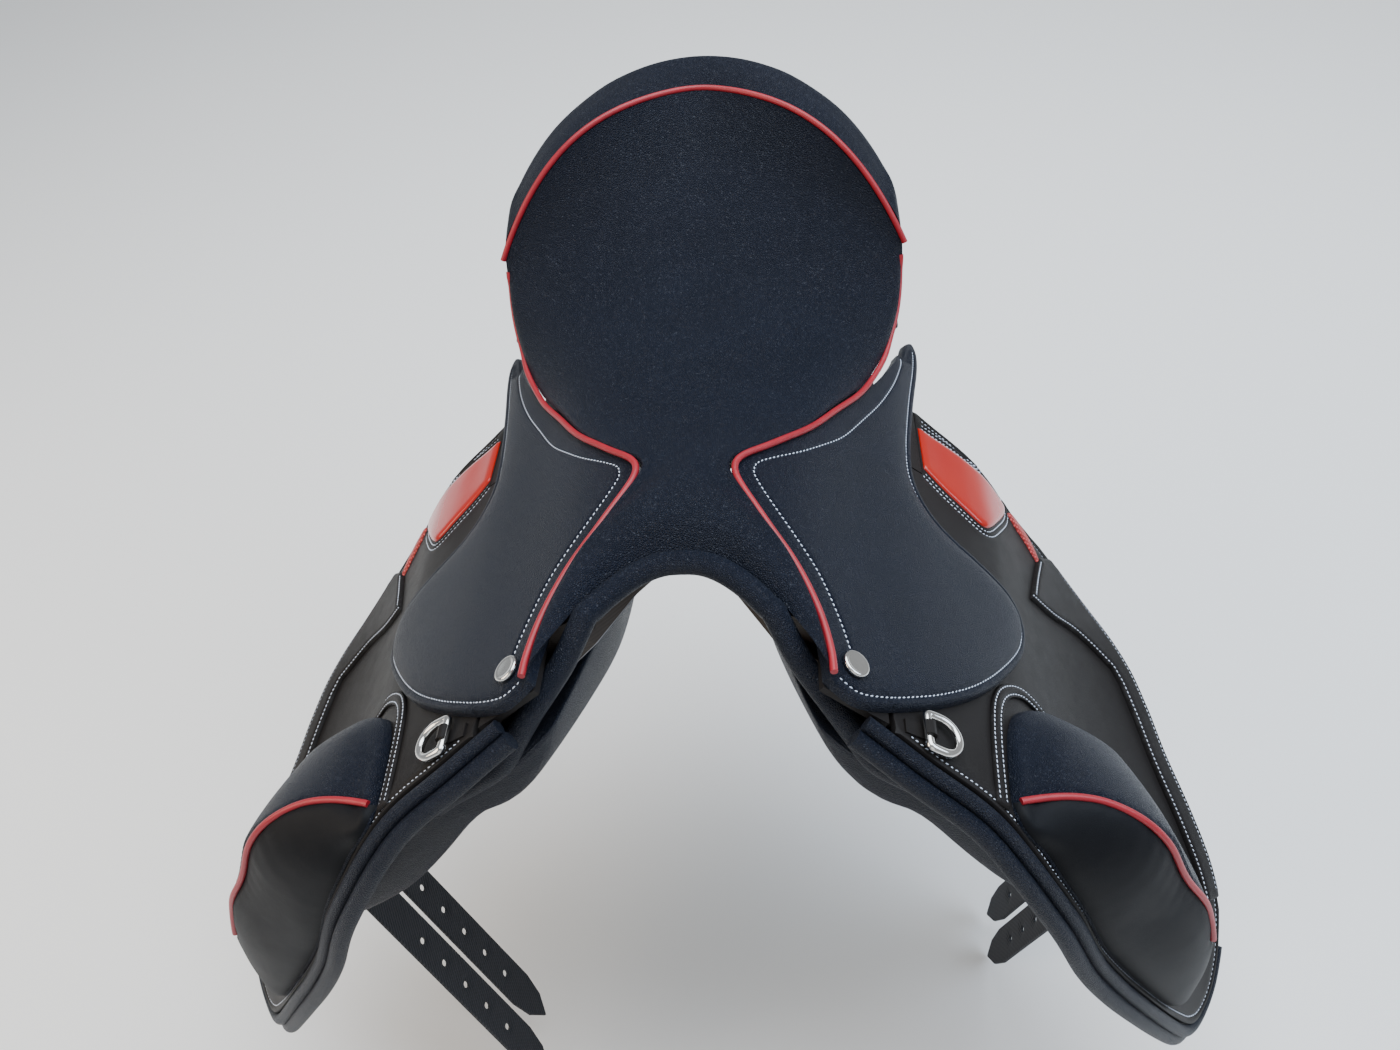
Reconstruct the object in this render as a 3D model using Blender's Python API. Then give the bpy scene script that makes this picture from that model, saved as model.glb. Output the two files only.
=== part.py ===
"""Dressage saddle with external knee blocks, as separate pieces on a spring tree.

Metres, +Z up, pommel towards -Y, cantle towards +Y, the rider's left at +X. The origin is the middle of the
gullet at the level where the panels bear on the horse. Leather is cut as flat patterns and laid over one
draped surface, so that every layer bends with the one below it.
"""

import math

import bmesh
import bpy
from mathutils import Matrix, Vector
from mathutils.geometry import delaunay_2d_cdt

MM = 0.001

# Overall sizes, in millimetres
SEAT_LENGTH = 450.0  # saddle nail to the middle of the cantle
SEAT_HALF_WIDTH = 136.0  # widest place of the seat, in front of the cantle
SEAT_TIP = 6.0  # degrees that the tree is tipped back from the line of the flaps' rulings
STANDARD_LENGTH = 450.0  # the seat length that the stations below are written for

# Leather, foam and gaps
GAP = 0.28  # running gap between neighbouring layers
SKIRT_T = 7.5
SKIRT_EDGE_T = 3.2
FLAP_T = 3.8
UNDER_FLAP_T = 3.2
COVER_T = 2.4
FOAM_T = 14.0
WEB_T = 2.0
PIPING_R = 1.9
ROLL_R = 6.5
EDGE_R = 4.0

# Hinge line of the skirts and flaps, along the pattern
HINGE_S = 76.0
SEAM = 0.28  # cut between a fixed and a moving leather
REAR_CUT = 6.0  # where the moving skirt ends behind the hinge

# Fittings
NAIL_R = 7.5
NAIL_T = 2.6
BAR_LENGTH = 88.0
BAR_FRONT = -168.0
RING_LENGTH = 19.0
RING_WIDTH = 20.0
RING_WIRE = 2.3
BILLET_WIDTH = 27.0
BILLET_T = 3.4
HOLE_R = 2.6
HOLE_PITCH = 25.0
HOLE_FROM_TIP = 52.0
HOLES = 5

# Levels over the flap's outer face
SKIRT_LOW = GAP
SKIRT_TOP = SKIRT_LOW + SKIRT_T
PIPING_H = SKIRT_TOP + PIPING_R + 0.2
UNDER_TOP = -FLAP_T - 0.3
RAIL_TOP = -FLAP_T - 0.3
RAIL_LOW = RAIL_TOP - 12.0
SPRING_LOW = RAIL_LOW - 0.25 - 1.8
HEAD_TOP = RAIL_LOW - 0.25
HEAD_LOW = HEAD_TOP - 9.0
PLATE_LOW = HEAD_LOW - 0.25 - 1.8
PANEL_TOP_FRONT = PLATE_LOW - 0.3
PANEL_TOP_BACK = SPRING_LOW - 0.3
WEB_HOLD = UNDER_TOP - UNDER_FLAP_T - 2.5

# Draped surface
GRID_Y = 66.0
GRID_S = 26.0
FRONT_STATION = -240.0
REAR_STATION = 40.0
FLARE = 1.6  # how soon behind the front edge the leather turns out
PATTERN_S = (-38, -14, 0, 26, 62, 99, 137, 162, 185, 226, 267, 307, 354, 410, 464, 510)
FRONT_XZ = (
    (0, 111), (24, 109), (37, 105), (60, 93), (90, 72), (120, 52), (151, 29), (168, 10),
    (181, -9), (201, -44), (217, -82), (236, -117), (260, -157), (287, -206), (311, -254), (330, -296),
)
REAR_XZ = (
    (0, 111), (24, 109), (37, 105), (60, 93), (90, 72), (120, 52), (150, 28), (171, 12),
    (188, -4), (212, -38), (238, -70), (268, -100), (308, -130), (357, -160), (401, -186), (437, -208),
)

SEAM_END = 118.0  # behind this the seam has climbed off the skirt to the cantle
SEAT_INSET = PIPING_R + 0.4  # seat cover's edge to the middle of the piping
WIDENING_FROM = -60.0  # in front of this the seat keeps its width when it is made wider

# Seat stations: middle (y, z), edge (half width, y, z) and how late the surface rolls down
SEAT_STATIONS = (
    (-127, 105, 75, -199, 79, 2.0),
    (-114, 118, 74, -185, 88, 2.0),
    (-98, 123, 69, -163, 99, 2.0),
    (-84, 123, 58, -137, 108, 2.0),
    (-73, 121, 42, -111, 115, 2.0),
    (-62, 118, 26, -76, 118, 2.0),
    (-44, 114, 45, -52, 111, 2.4),
    (-18, 109, 68, -23, 98, 2.7),
    (14, 106, 87, 12, 84, 3.0),
    (50, 107, 107, 48, 74, 3.0),
    (84, 113, 122, 80, 74, 3.0),
    (115, 124, 132, 106, 86, 3.0),
    (146, 144, 135.5, 121, 101, 3.0),
    (176, 170, 136, 129, 111, 3.0),
    (198, 195, 136, 132, 118, 3.2),
    (207, 206, 136, 133, 121, 3.4),
)
SEAT_COLUMNS = 14
CREST_Y = (138.0, 97.0)
CREST_Z = (120.0, 101.0)
CANTLE_FOOT = 94.0
CANTLE_PANEL_T = 6.0
CANTLE_BOARD_T = 8.0

# Tree, as (y, s) places under the leathers
HEAD_PLACES = (
    (-106, -38), (-109, -26), (-126, 0), (-150, GRID_S), (-162, GRID_S * 2), (-169, GRID_S * 3),
    (-175, GRID_S * 4), (-178, GRID_S * 5),
)
HEAD_HALF = 10.0
HEAD_REAR = -110.0
RAIL_IN = 18.0
RAIL_STEP = 36.5
RAIL_OUT = 57.2
RAIL_RAISED = 12.0
RISER_FRONT = 26.0
RAIL_FRONT = -160.0
RAIL_REAR = 118.0
SPRING_FRONT = -132.0

# Leather outlines, as (y, s) on the pattern
SKIRT_RIM = (
    (-202, 42), (-206, 54), (-202, 72), (-194, 92), (-183, 113), (-166, 137), (-143, 160), (-112, 184),
    (-86, 191), (-68, 180), (-56, 155), (-42, 127), (-20, 113), (10, 112), (62, 120), (112, 130),
    (136, 132), (146, 127), (138, 120), (118, 114.5),
)
ROOT_IN = 38.0
NOTCH_Y = (-178.0, -56.0)
NOTCH_S = (46.0, 84.0)
FLAP_STEP = 124.0
FLAP_REAR = (
    (71, 124.6), (60, 156), (42, 206), (32, 254), (0, 308), (-26, 334), (-55, 350), (-85, 366),
    (-115, 392), (-140, 418), (-162, 438),
)
FLAP_FRONT = (
    (-182, 446), (-202, 449), (-220, 443), (-233, 428), (-241, 392), (-247, 350), (-251, 300), (-252, 250),
    (-248, 205), (-241, 172), (-233, 150), (-226, 128), (-219, 103), (-210, 80),
)
UNDER_START = 92.0
UNDER_REAR = (
    (56, 150), (48, 180), (43, 206), (46, 230), (46, 250), (39, 272), (2, 312), (-24, 338), (-53, 354),
    (-83, 370), (-113, 396), (-138, 422), (-160, 442),
)
BLOCK_STRIP = (
    (-228, 144), (-205, 146.5), (-180, 150), (-160, 155), (-147, 164), (-139, 179), (-137, 196), (-138, 210),
)
STRIP_HALF = 4.5
STRIP_T = 1.8
THIGH_LINE = ((-9, 300), (-34, 322), (-60, 337), (-88, 352), (-114, 376), (-138, 402), (-154, 420))
THIGH_HALF = 4.5
THIGH_T = 3.6
INSERT_OUTLINE = (
    (53, 126), (50, 146), (46, 166), (41, 186), (35, 202), (30, 205.5), (20, 201), (4, 189), (-8, 179),
    (-12, 172), (-10, 163), (-2, 147), (9, 130), (12, 126),
)
INSERT_T = 2.0
CRESCENT = (
    (42.5, 209), (44.5, 228), (44.5, 246), (39.5, 264), (34.5, 268), (35.5, 252), (38, 236), (41, 220),
)

# Pommel roll, which dives under the skirt beside the pommel
ROLL_LEAVES = 48.0
ROLL_FOOT = ((58, -180, 84), (67, -188, 73), (76, -196, 63))

# Knee blocks
BLOCK_OUTLINE = (
    (-236, 162), (-238, 180), (-244, 205), (-248, 250), (-247, 300), (-243, 350), (-236, 386), (-217, 402),
    (-190, 394), (-166, 366), (-148, 318), (-138, 272), (-137, 240), (-143, 222), (-148, 200), (-152, 182),
    (-160, 169), (-176, 160), (-200, 155), (-226, 153),
)
BLOCK_T = 53.0
BLOCK_ROUND = 20.0
BLOCK_FRONT = -248.0
BLOCK_RIDGE = -216.0
BLOCK_REAR = -126.0
BLOCK_S = (160.0, 398.0)
BLOCK_RISE = (75.0, 120.0)
BLOCK_SEAM = (
    (-221, 156.5), (-217, 166), (-215, 174), (-213, 187), (-215, 200), (-218, 220), (-219, 250), (-217, 281),
    (-214, 312), (-216, 338),
)

# Panels: y, inner pattern place, inner half width, rise of the bearing face, rise of the arch, outer place
PANEL_FLARE = 0.35
PANEL_STATIONS = (
    (-206, 60, 78, 0, 34, 336), (-196, 52, 72, 0, 31, 348), (-170, 38, 62, 0, 23, 356),
    (-136, 20, 50, 0, 13, 358), (-112, 10, 44, 0, 6, 352), (-98, 8, 41, 0, 3, 342), (-76, 6, 38, 0, 0, 312),
    (-48, 4, 36, 0, 0, 252), (-15, 4, 36, 0, 0, 190), (20, 4, 36, 0, 0, 140), (60, 4, 36, 0, 0, 112),
    (110, 4, 36, 1, 0, 104), (160, 4, 36, 6, 0, 102), (205, 6, 38, 16, 0, 98), (232, 12, 46, 32, 0, 92),
)
BILLET_Y = (-142.0, -109.0)
BILLET_EDGE = 364.0
BILLET_LENGTHS = (250.0, 238.0)
BILLET_HANG = {"left": (13.5, 9.0), "right": (32.0, -16.0)}  # degrees in and back
BILLET_NOSE = 1.35  # rounded top edge of a girth strap, above its hinge
BILLET_DROP = 1.78  # hinge below the edge of the web

# Places of the fittings
NAIL_Y = -187.0
NAIL_S = 51.0
BAR_S = 57.5
BAR_LOW = -9.5
BAR_TOP = -1.0
CATCH_R = 4.3  # knuckle of the bar's catch
RING_Y = -205.0
RING_S = 97.0
RING_DROP = 8.0
CHAPE_T = 1.4
CHAPE_HALF = 4.0
RING_H = 0.25 + CHAPE_T + 0.3 + RING_WIRE


def tip_matrix():
    return Matrix.Rotation(-math.radians(SEAT_TIP), 4, "X")


def fore(y):
    """Place along the saddle for a station written for the standard length."""
    return y * SEAT_LENGTH / STANDARD_LENGTH


def wide(x):
    """Half width for a station written for the standard seat, growing in only where the seat widens."""
    return x * SEAT_HALF_WIDTH / 136.0


def smooth_at(knots, rows, at):
    """Smooth curve through rows of numbers at the knots."""
    last = len(knots) - 1
    at = min(max(at, knots[0]), knots[last])
    k = next(i for i in range(last) if at <= knots[i + 1])
    span = knots[k + 1] - knots[k]
    t = (at - knots[k]) / span

    def slope(i, c):
        if i in (0, last):
            j = 0 if i == 0 else last - 1
            return (rows[j + 1][c] - rows[j][c]) / (knots[j + 1] - knots[j])
        return (rows[i + 1][c] - rows[i - 1][c]) / (knots[i + 1] - knots[i - 1])

    out = []
    for c in range(len(rows[0])):
        a, b = rows[k][c], rows[k + 1][c]
        m, n = slope(k, c) * span, slope(k + 1, c) * span
        h = (2 * t**3 - 3 * t**2 + 1, t**3 - 2 * t**2 + t, 3 * t**2 - 2 * t**3, t**3 - t**2)
        out.append(h[0] * a + h[1] * m + h[2] * b + h[3] * n)
    return out


def surface(y, s):
    """Outer face of the flaps where the pattern's point (y, s) lies."""
    t = min(max((y - FRONT_STATION) / (REAR_STATION - FRONT_STATION), 0.0), 1.0)
    share = 1 - (1 - t) ** FLARE
    front = smooth_at(PATTERN_S, FRONT_XZ, s)
    rear = smooth_at(PATTERN_S, REAR_XZ, s)
    x, z = (f + share * (r - f) for f, r in zip(front, rear))
    return Vector((x, fore(y), z))


def surface_normal(y, s):
    along = surface(y + 1, s) - surface(y - 1, s)
    down = surface(y, s + 1) - surface(y, s - 1)
    normal = along.cross(down).normalized()
    return normal if normal.x + normal.z > 0 else -normal


GRID = {}


def grid_node(i, j):
    if (i, j) not in GRID:
        y, s = i * GRID_Y, j * GRID_S
        GRID[i, j] = (surface(y, s), surface_normal(y, s))
    return GRID[i, j]


def drape(y, s, height=0.0):
    """Point at a height over the faceted drape. All layers share its facets, so they stay parallel."""
    i, j = math.floor(y / GRID_Y), math.floor(s / GRID_S)
    a, b = y / GRID_Y - i, s / GRID_S - j
    corner, far = grid_node(i, j), grid_node(i + 1, j + 1)
    side = grid_node(i + 1, j) if a >= b else grid_node(i, j + 1)
    big, small = max(a, b), min(a, b)
    parts = [corner[k] * (1 - big) + side[k] * (big - small) + far[k] * small for k in (0, 1)]
    return parts[0] + parts[1] * height


def curve_through(points, per=5, closed=False):
    """Points of a smooth curve through the given ones."""
    count = len(points)
    spans = count if closed else count - 1
    out = []
    for k in range(spans):
        if closed:
            p = [Vector(points[(k + i - 1) % count]) for i in range(4)]
        else:
            p = [Vector(points[min(max(k + i - 1, 0), count - 1)]) for i in range(4)]
        for n in range(per):
            t = n / per
            out.append(
                0.5 * ((2 * p[1]) + (p[2] - p[0]) * t + (2 * p[0] - 5 * p[1] + 4 * p[2] - p[3]) * t**2
                       + (3 * p[1] - p[0] - 3 * p[2] + p[3]) * t**3)
            )
    if not closed:
        out.append(Vector(points[-1]))
    return out


def offset_line(points, distance, closed=False):
    """The line moved sideways: to its left for a positive distance."""
    out = []
    count = len(points)
    for k, point in enumerate(points):
        before = points[(k - 1) % count] if closed or k else point
        after = points[(k + 1) % count] if closed or k < count - 1 else point
        run = (Vector(after) - Vector(before)).to_2d().normalized()
        out.append(Vector((point[0] - run.y * distance, point[1] + run.x * distance)))
    return out


def edge_distance(point, line):
    """Distance to the nearest piece of a line."""
    nearest = 1e9
    for a, b in zip(line, line[1:]):
        run = b - a
        t = min(max((point - a).dot(run) / max(run.length_squared, 1e-9), 0.0), 1.0)
        nearest = min(nearest, (a + run * t - point).length)
    return nearest


def new_material(name, color, roughness, metallic=0.0):
    material = bpy.data.materials.new(name)
    material.use_nodes = True
    shader = material.node_tree.nodes["Principled BSDF"]
    shader.inputs["Base Color"].default_value = (*color, 1.0)
    shader.inputs["Roughness"].default_value = roughness
    shader.inputs["Metallic"].default_value = metallic
    return material


def clear_scene():
    for obj in list(bpy.data.objects):
        bpy.data.objects.remove(obj, do_unlink=True)


class Saddle:
    """Collections, the tipped parent and the materials that the pieces share."""

    def __init__(self):
        self.parts = bpy.data.collections.new("dressage_saddle")
        self.cutters = bpy.data.collections.new("cutters")
        for collection in (self.parts, self.cutters):
            bpy.context.scene.collection.children.link(collection)
        self.base = bpy.data.objects.new("saddle_balance", None)
        self.base.matrix_world = tip_matrix()
        self.parts.objects.link(self.base)
        self.grain = new_material("grain_leather", (0.012, 0.014, 0.024), 0.42)
        self.calf = new_material("calf_leather", (0.028, 0.024, 0.022), 0.5)
        self.red = new_material("red_piping", (0.45, 0.02, 0.03), 0.4)
        self.patent = new_material("red_patent", (0.5, 0.01, 0.012), 0.12)
        self.chrome = new_material("chrome", (0.8, 0.8, 0.8), 0.12, 1.0)
        self.steel = new_material("tree_steel", (0.35, 0.35, 0.37), 0.45, 1.0)
        self.beech = new_material("beech_laminate", (0.5, 0.33, 0.17), 0.6)
        self.foam = new_material("foam", (0.75, 0.72, 0.6), 0.9)
        self.web = new_material("webbing", (0.02, 0.02, 0.022), 0.85)

    def piece(self, name, bm, material, mirrored=False, pivot=None, smooth=40.0):
        """An object from a bmesh in millimetres, mirrored for the right side, turning about its pivot."""
        copy = bm.copy()
        if mirrored:
            bmesh.ops.scale(copy, vec=(-1, 1, 1), verts=copy.verts)
            bmesh.ops.reverse_faces(copy, faces=copy.faces)
        at = Vector(pivot) if pivot else Vector((0, 0, 0))
        if mirrored:
            at.x = -at.x
        bmesh.ops.translate(copy, vec=-at, verts=copy.verts)
        bmesh.ops.scale(copy, vec=(MM, MM, MM), verts=copy.verts)
        bmesh.ops.triangulate(copy, faces=copy.faces)
        mesh = bpy.data.meshes.new(name)
        copy.to_mesh(mesh)
        copy.free()
        mesh.materials.append(material)
        mesh.shade_smooth()
        mesh.set_sharp_from_angle(angle=math.radians(smooth))
        obj = bpy.data.objects.new(name, mesh)
        obj.parent = self.base
        obj.location = at * MM
        self.parts.objects.link(obj)
        return obj

    def pair(self, name, bm, material, pivot=None, smooth=40.0):
        objects = [
            self.piece(f"{name}_{side}", bm, material, side == "right", pivot, smooth)
            for side in ("left", "right")
        ]
        bm.free()
        return objects


def grid_lines(outline):
    """Ends of the drape's facet lines that cross an outline."""
    y0, y1 = min(p.x for p in outline) - 1, max(p.x for p in outline) + 1
    s0, s1 = min(p.y for p in outline) - 1, max(p.y for p in outline) + 1
    lines = []
    for i in range(math.ceil(y0 / GRID_Y), math.ceil(y1 / GRID_Y)):
        lines.append(((i * GRID_Y, s0), (i * GRID_Y, s1)))
    for j in range(math.ceil(s0 / GRID_S), math.ceil(s1 / GRID_S)):
        lines.append(((y0, j * GRID_S), (y1, j * GRID_S)))
    for k in range(math.ceil(y0 / GRID_Y - s1 / GRID_S), math.ceil(y1 / GRID_Y - s0 / GRID_S)):
        low = max(y0, (k + s0 / GRID_S) * GRID_Y)
        high = min(y1, (k + s1 / GRID_S) * GRID_Y)
        if high > low:
            lines.append(((low, (low / GRID_Y - k) * GRID_S), (high, (high / GRID_Y - k) * GRID_S)))
    return lines


def pattern_mesh(outline, low, top, insets=(), rim=None):
    """A leather cut to a closed outline of the pattern, from height low up to top(point, rim distance)."""
    outline = [Vector(p).to_2d() for p in outline]
    area = sum(a.x * b.y - b.x * a.y for a, b in zip(outline, outline[1:] + outline[:1]))
    if area < 0:
        outline.reverse()
    rim = [Vector(p).to_2d() for p in rim] if rim else outline + outline[:1]
    points, edges = [], []
    for inset in (0.0, *insets):
        ring = offset_line(outline, inset, closed=True) if inset else outline
        start = len(points)
        points += [Vector(p).to_2d() for p in ring]
        edges += [(start + k, start + (k + 1) % len(ring)) for k in range(len(ring))]
    for a, b in grid_lines(outline):
        edges.append((len(points), len(points) + 1))
        points += [Vector(a), Vector(b)]
    found = delaunay_2d_cdt(points, edges, [list(range(len(outline)))], 0, 0.02)
    faces = [face for face, origin in zip(found[2], found[5]) if origin]
    used = sorted({k for face in faces for k in face})
    solid = bmesh.new()
    low_verts, top_verts = {}, {}
    for k in used:
        point = found[0][k]
        low_verts[k] = solid.verts.new(drape(point.x, point.y, low))
        top_verts[k] = solid.verts.new(drape(point.x, point.y, top(point, edge_distance(point, rim))))
    sides = {}
    for face in faces:
        solid.faces.new([top_verts[k] for k in face])
        solid.faces.new([low_verts[k] for k in reversed(face)])
        for k, a in enumerate(face):
            b = face[(k + 1) % len(face)]
            if (b, a) in sides:
                del sides[b, a]
            else:
                sides[a, b] = True
    for a, b in sides:
        solid.faces.new((low_verts[a], low_verts[b], top_verts[b], top_verts[a]))
    bmesh.ops.recalc_face_normals(solid, faces=solid.faces)
    return solid


def rounded(distance, edge, high, radius):
    """Height of a padded face at a distance from its edge."""
    share = min(distance / radius, 1.0)
    return edge + (high - edge) * math.sqrt(1 - (1 - share) ** 2)


def loft(rings, close_ends=True):
    """Skin over rings of equal length, in order along the piece."""
    bm = bmesh.new()
    rows = [[bm.verts.new(p) for p in ring] for ring in rings]
    for a, b in zip(rows, rows[1:]):
        for k in range(len(a)):
            n = (k + 1) % len(a)
            bm.faces.new((a[k], a[n], b[n], b[k]))
    if close_ends:
        bm.faces.new(list(reversed(rows[0])))
        bm.faces.new(rows[-1])
    bmesh.ops.recalc_face_normals(bm, faces=bm.faces)
    return bm


def slab(rows, normals, high, low):
    """A plate on a grid of points, from high(i, j) to low(i, j) along the normal at each."""
    bm = bmesh.new()
    top, bottom = (
        [
            [bm.verts.new(p + normals[i][j] * level(i, j)) for j, p in enumerate(row)]
            for i, row in enumerate(rows)
        ]
        for level in (high, low)
    )
    last_i, last_j = len(rows) - 1, len(rows[0]) - 1
    for i in range(last_i):
        for j in range(last_j):
            bm.faces.new((top[i][j], top[i][j + 1], top[i + 1][j + 1], top[i + 1][j]))
            bm.faces.new((bottom[i][j], bottom[i + 1][j], bottom[i + 1][j + 1], bottom[i][j + 1]))
    for i in range(last_i):
        bm.faces.new((top[i][0], top[i + 1][0], bottom[i + 1][0], bottom[i][0]))
        bm.faces.new((top[i][last_j], bottom[i][last_j], bottom[i + 1][last_j], top[i + 1][last_j]))
    for j in range(last_j):
        bm.faces.new((top[0][j], bottom[0][j], bottom[0][j + 1], top[0][j + 1]))
        bm.faces.new((top[last_i][j], top[last_i][j + 1], bottom[last_i][j + 1], bottom[last_i][j]))
    bmesh.ops.recalc_face_normals(bm, faces=bm.faces)
    return bm


def grid_normals(rows):
    """Upward normal at each point of a grid."""
    normals = []
    for i, row in enumerate(rows):
        line = []
        for j in range(len(row)):
            along = rows[min(i + 1, len(rows) - 1)][j] - rows[max(i - 1, 0)][j]
            across = row[min(j + 1, len(row) - 1)] - row[max(j - 1, 0)]
            normal = across.cross(along).normalized()
            line.append(normal if normal.z >= 0 else -normal)
        normals.append(line)
    return normals


def tube(points, radius, sides=8):
    """A round cord along points, as rings that turn as little as possible."""
    rings = []
    across = None
    count = len(points)
    for k, point in enumerate(points):
        run = (points[min(k + 1, count - 1)] - points[max(k - 1, 0)]).normalized()
        if across is None:
            across = run.orthogonal().normalized()
        across = (across - run * across.dot(run)).normalized()
        up = run.cross(across)
        turn = [2 * math.pi * n / sides for n in range(sides)]
        rings.append([point + (across * math.cos(a) + up * math.sin(a)) * radius for a in turn])
    return loft(rings)


def cylinder(at, axis, radius, length, sides=20, bm=None):
    """A round bar about an axis, added to bm where one is given."""
    bm = bm or bmesh.new()
    turn = Vector((0, 0, 1)).rotation_difference(Vector(axis)).to_matrix().to_4x4()
    place = Matrix.Translation(at) @ turn
    bmesh.ops.create_cone(
        bm, cap_ends=True, segments=sides, radius1=radius, radius2=radius, depth=length, matrix=place
    )
    return bm


def seam_s(x):
    """Pattern place where the piping on the skirt has half width x."""
    low, high = PATTERN_S[0], 140.0
    for _ in range(30):
        middle = (low + high) / 2
        if drape(0, middle, PIPING_H).x < x:
            low = middle
        else:
            high = middle
    return (low + high) / 2


def seat_edge(station):
    """Edge of a seat station on the left, raised onto the skirt where it would sink in."""
    yc, zc, w, ye, ze, power = station
    x = wide(w) if yc > WIDENING_FROM else w
    low = drape(0, seam_s(x), PIPING_H).z + COVER_T / 2 + 0.6
    return x, ye, max(ze, low)


def seam_pattern():
    """The seat's piping as points of the pattern."""
    line = []
    for station in SEAT_STATIONS:
        x, y, z = seat_edge(station)
        if y < SEAM_END:
            line.append(Vector((y, seam_s(x))))
    return line


def seat_point(station, u):
    """Point across a seat station, u from -1 to 1."""
    yc, zc, power = station[0], station[1], station[5]
    x, ye, ze = seat_edge(station)
    share = abs(u)
    bow = 1.8 - 0.7 * min(max((yc - 60) / 147, 0.0), 1.0)
    return Vector((x * u, fore(yc + (ye - yc) * share**bow), zc + (ze - zc) * share**power))


class SeatGrid:
    """The seat's face as one grid, which the cover, foam, webs and tree lie under."""

    def __init__(self):
        self.rows = []
        for station in SEAT_STATIONS:
            limit = 1 - SEAT_INSET / station[2]
            span = [limit * (2 * j / SEAT_COLUMNS - 1) for j in range(SEAT_COLUMNS + 1)]
            self.rows.append([seat_point(station, u) for u in span])
        self.normals = grid_normals(self.rows)
        self.foam_low = COVER_T + 0.25 + FOAM_T
        self.web_low = self.foam_low + 0.25 + WEB_T

    def narrowing(self, j):
        """Foam thins towards the sides of the seat."""
        side = abs(j - SEAT_COLUMNS / 2) / (SEAT_COLUMNS / 2)
        return 1 - 0.62 * side**2

    def under(self, depth, j):
        """Depth below the face, less where the foam is thin."""
        return -(depth - FOAM_T * (1 - self.narrowing(j)))

    def layer(self, first, last, edge, high, low):
        """A plate of the rows first to last, edge columns in from each side."""
        columns = slice(edge, SEAT_COLUMNS + 1 - edge)
        rows = [row[columns] for row in self.rows[first:last]]
        normals = [row[columns] for row in self.normals[first:last]]
        return slab(rows, normals, lambda i, j: high(j + edge), lambda i, j: low(j + edge))


def make_seat(saddle, grid):
    cover = grid.layer(0, None, 0, lambda j: 0.0, lambda j: -COVER_T)
    saddle.piece("seat_cover", cover, saddle.grain)
    foam = grid.layer(3, -1, 2, lambda j: -COVER_T - 0.25, lambda j: grid.under(grid.foam_low, j))
    saddle.piece("seat_foam", foam, saddle.foam)
    webs = grid.layer(
        4, -2, 3,
        lambda j: grid.under(grid.foam_low + 0.25, j),
        lambda j: grid.under(grid.web_low, j),
    )
    saddle.piece("seat_webbing", webs, saddle.web)
    cantle = grid.layer(
        11, None, 1,
        lambda j: grid.under(grid.web_low + 0.25, j),
        lambda j: grid.under(grid.web_low + 0.25 + CANTLE_BOARD_T, j),
    )
    saddle.piece("tree_cantle", cantle, saddle.beech)
    for bm in (cover, foam, webs, cantle):
        bm.free()


def beside(line, normals, distance, drop):
    """The line moved to its left on the surface with these normals, mitred at its corners."""
    out = []
    for k, point in enumerate(line):
        before = (point - line[max(k - 1, 0)]).normalized()
        after = (line[min(k + 1, len(line) - 1)] - point).normalized()
        run = (before + after).normalized()
        side = normals[k].cross(run).normalized()
        reach = distance / max(run.dot(after if k < len(line) - 1 else before), 0.6)
        out.append(point + side * reach - normals[k] * drop)
    return out


def make_piping(saddle, grid):
    reach = PIPING_R + 0.2
    edge = [row[-1] for row in reversed(grid.rows)]
    up = [row[-1] for row in reversed(grid.normals)]
    path = beside(edge[1:], up[1:], reach, COVER_T / 2)
    side = tube(path, PIPING_R, 6)
    saddle.pair("seat_piping", side, saddle.red)
    back = beside(grid.rows[-1], grid.normals[-1], reach, COVER_T / 2)
    cantle = tube(back[::-1], PIPING_R, 6)
    saddle.piece("cantle_piping", cantle, saddle.red)
    cantle.free()
    return path, back


def back_row(start, crest, low, bulge):
    """Points down the back of the cantle from its piping."""
    first = start.lerp(crest, 0.5) + Vector((0, 0, bulge * 0.5))
    upper = crest.lerp(low, 0.35) + Vector((0, bulge, 0))
    lower = crest.lerp(low, 0.7) + Vector((0, bulge * 0.6, 0))
    return [start, first, crest, upper, lower, low]


def make_cantle_panel(saddle, side_path, back_path):
    """The back of the cantle, from a station beside the seat round to the other side."""
    rows = []
    out = PIPING_R + 0.15
    for edge in reversed(side_path[:4]):
        start = edge + Vector((out * 0.75, out * 0.2, -out * 2))
        low = Vector((start.x - 7, start.y + 10, CANTLE_FOOT - 8))
        rows.append(back_row(start, start + Vector((-0.5, 3, -5)), low, 0.6))
    middle = len(back_path) // 2
    for k in range(middle + 1):
        at = back_path[-1 - k]
        reach = min(at.x / back_path[-1].x, 0.985)
        rise = math.sqrt(1 - reach**2)
        start = at + Vector((out * reach, out * rise, out * 0.3))
        crest = Vector((wide(134.0) * reach, fore(CREST_Y[0] + CREST_Y[1] * rise**1.24), 0))
        crest.z = CREST_Z[0] - 4 + (CREST_Z[1] - 1) * rise**0.96
        low = Vector((crest.x * 0.97, crest.y - 6 - 6 * rise, CANTLE_FOOT - 8 * (1 - rise)))
        rows.append(back_row(start, crest, low, 3 + 5 * rise))
    mirrored = [[Vector((-p.x, p.y, p.z)) for p in row] for row in rows[:-1]]
    rows += reversed(mirrored)
    normals = []
    for i, row in enumerate(rows):
        line = []
        for j, p in enumerate(row):
            along = rows[min(i + 1, len(rows) - 1)][j] - rows[max(i - 1, 0)][j]
            across = row[min(j + 1, len(row) - 1)] - row[max(j - 1, 0)]
            line.append(along.cross(across).normalized())
        normals.append(line)
    back = slab(rows, normals, lambda i, j: 0.0, lambda i, j: -CANTLE_PANEL_T)
    saddle.piece("cantle_panel", back, saddle.grain)
    back.free()


# Tree

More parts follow.
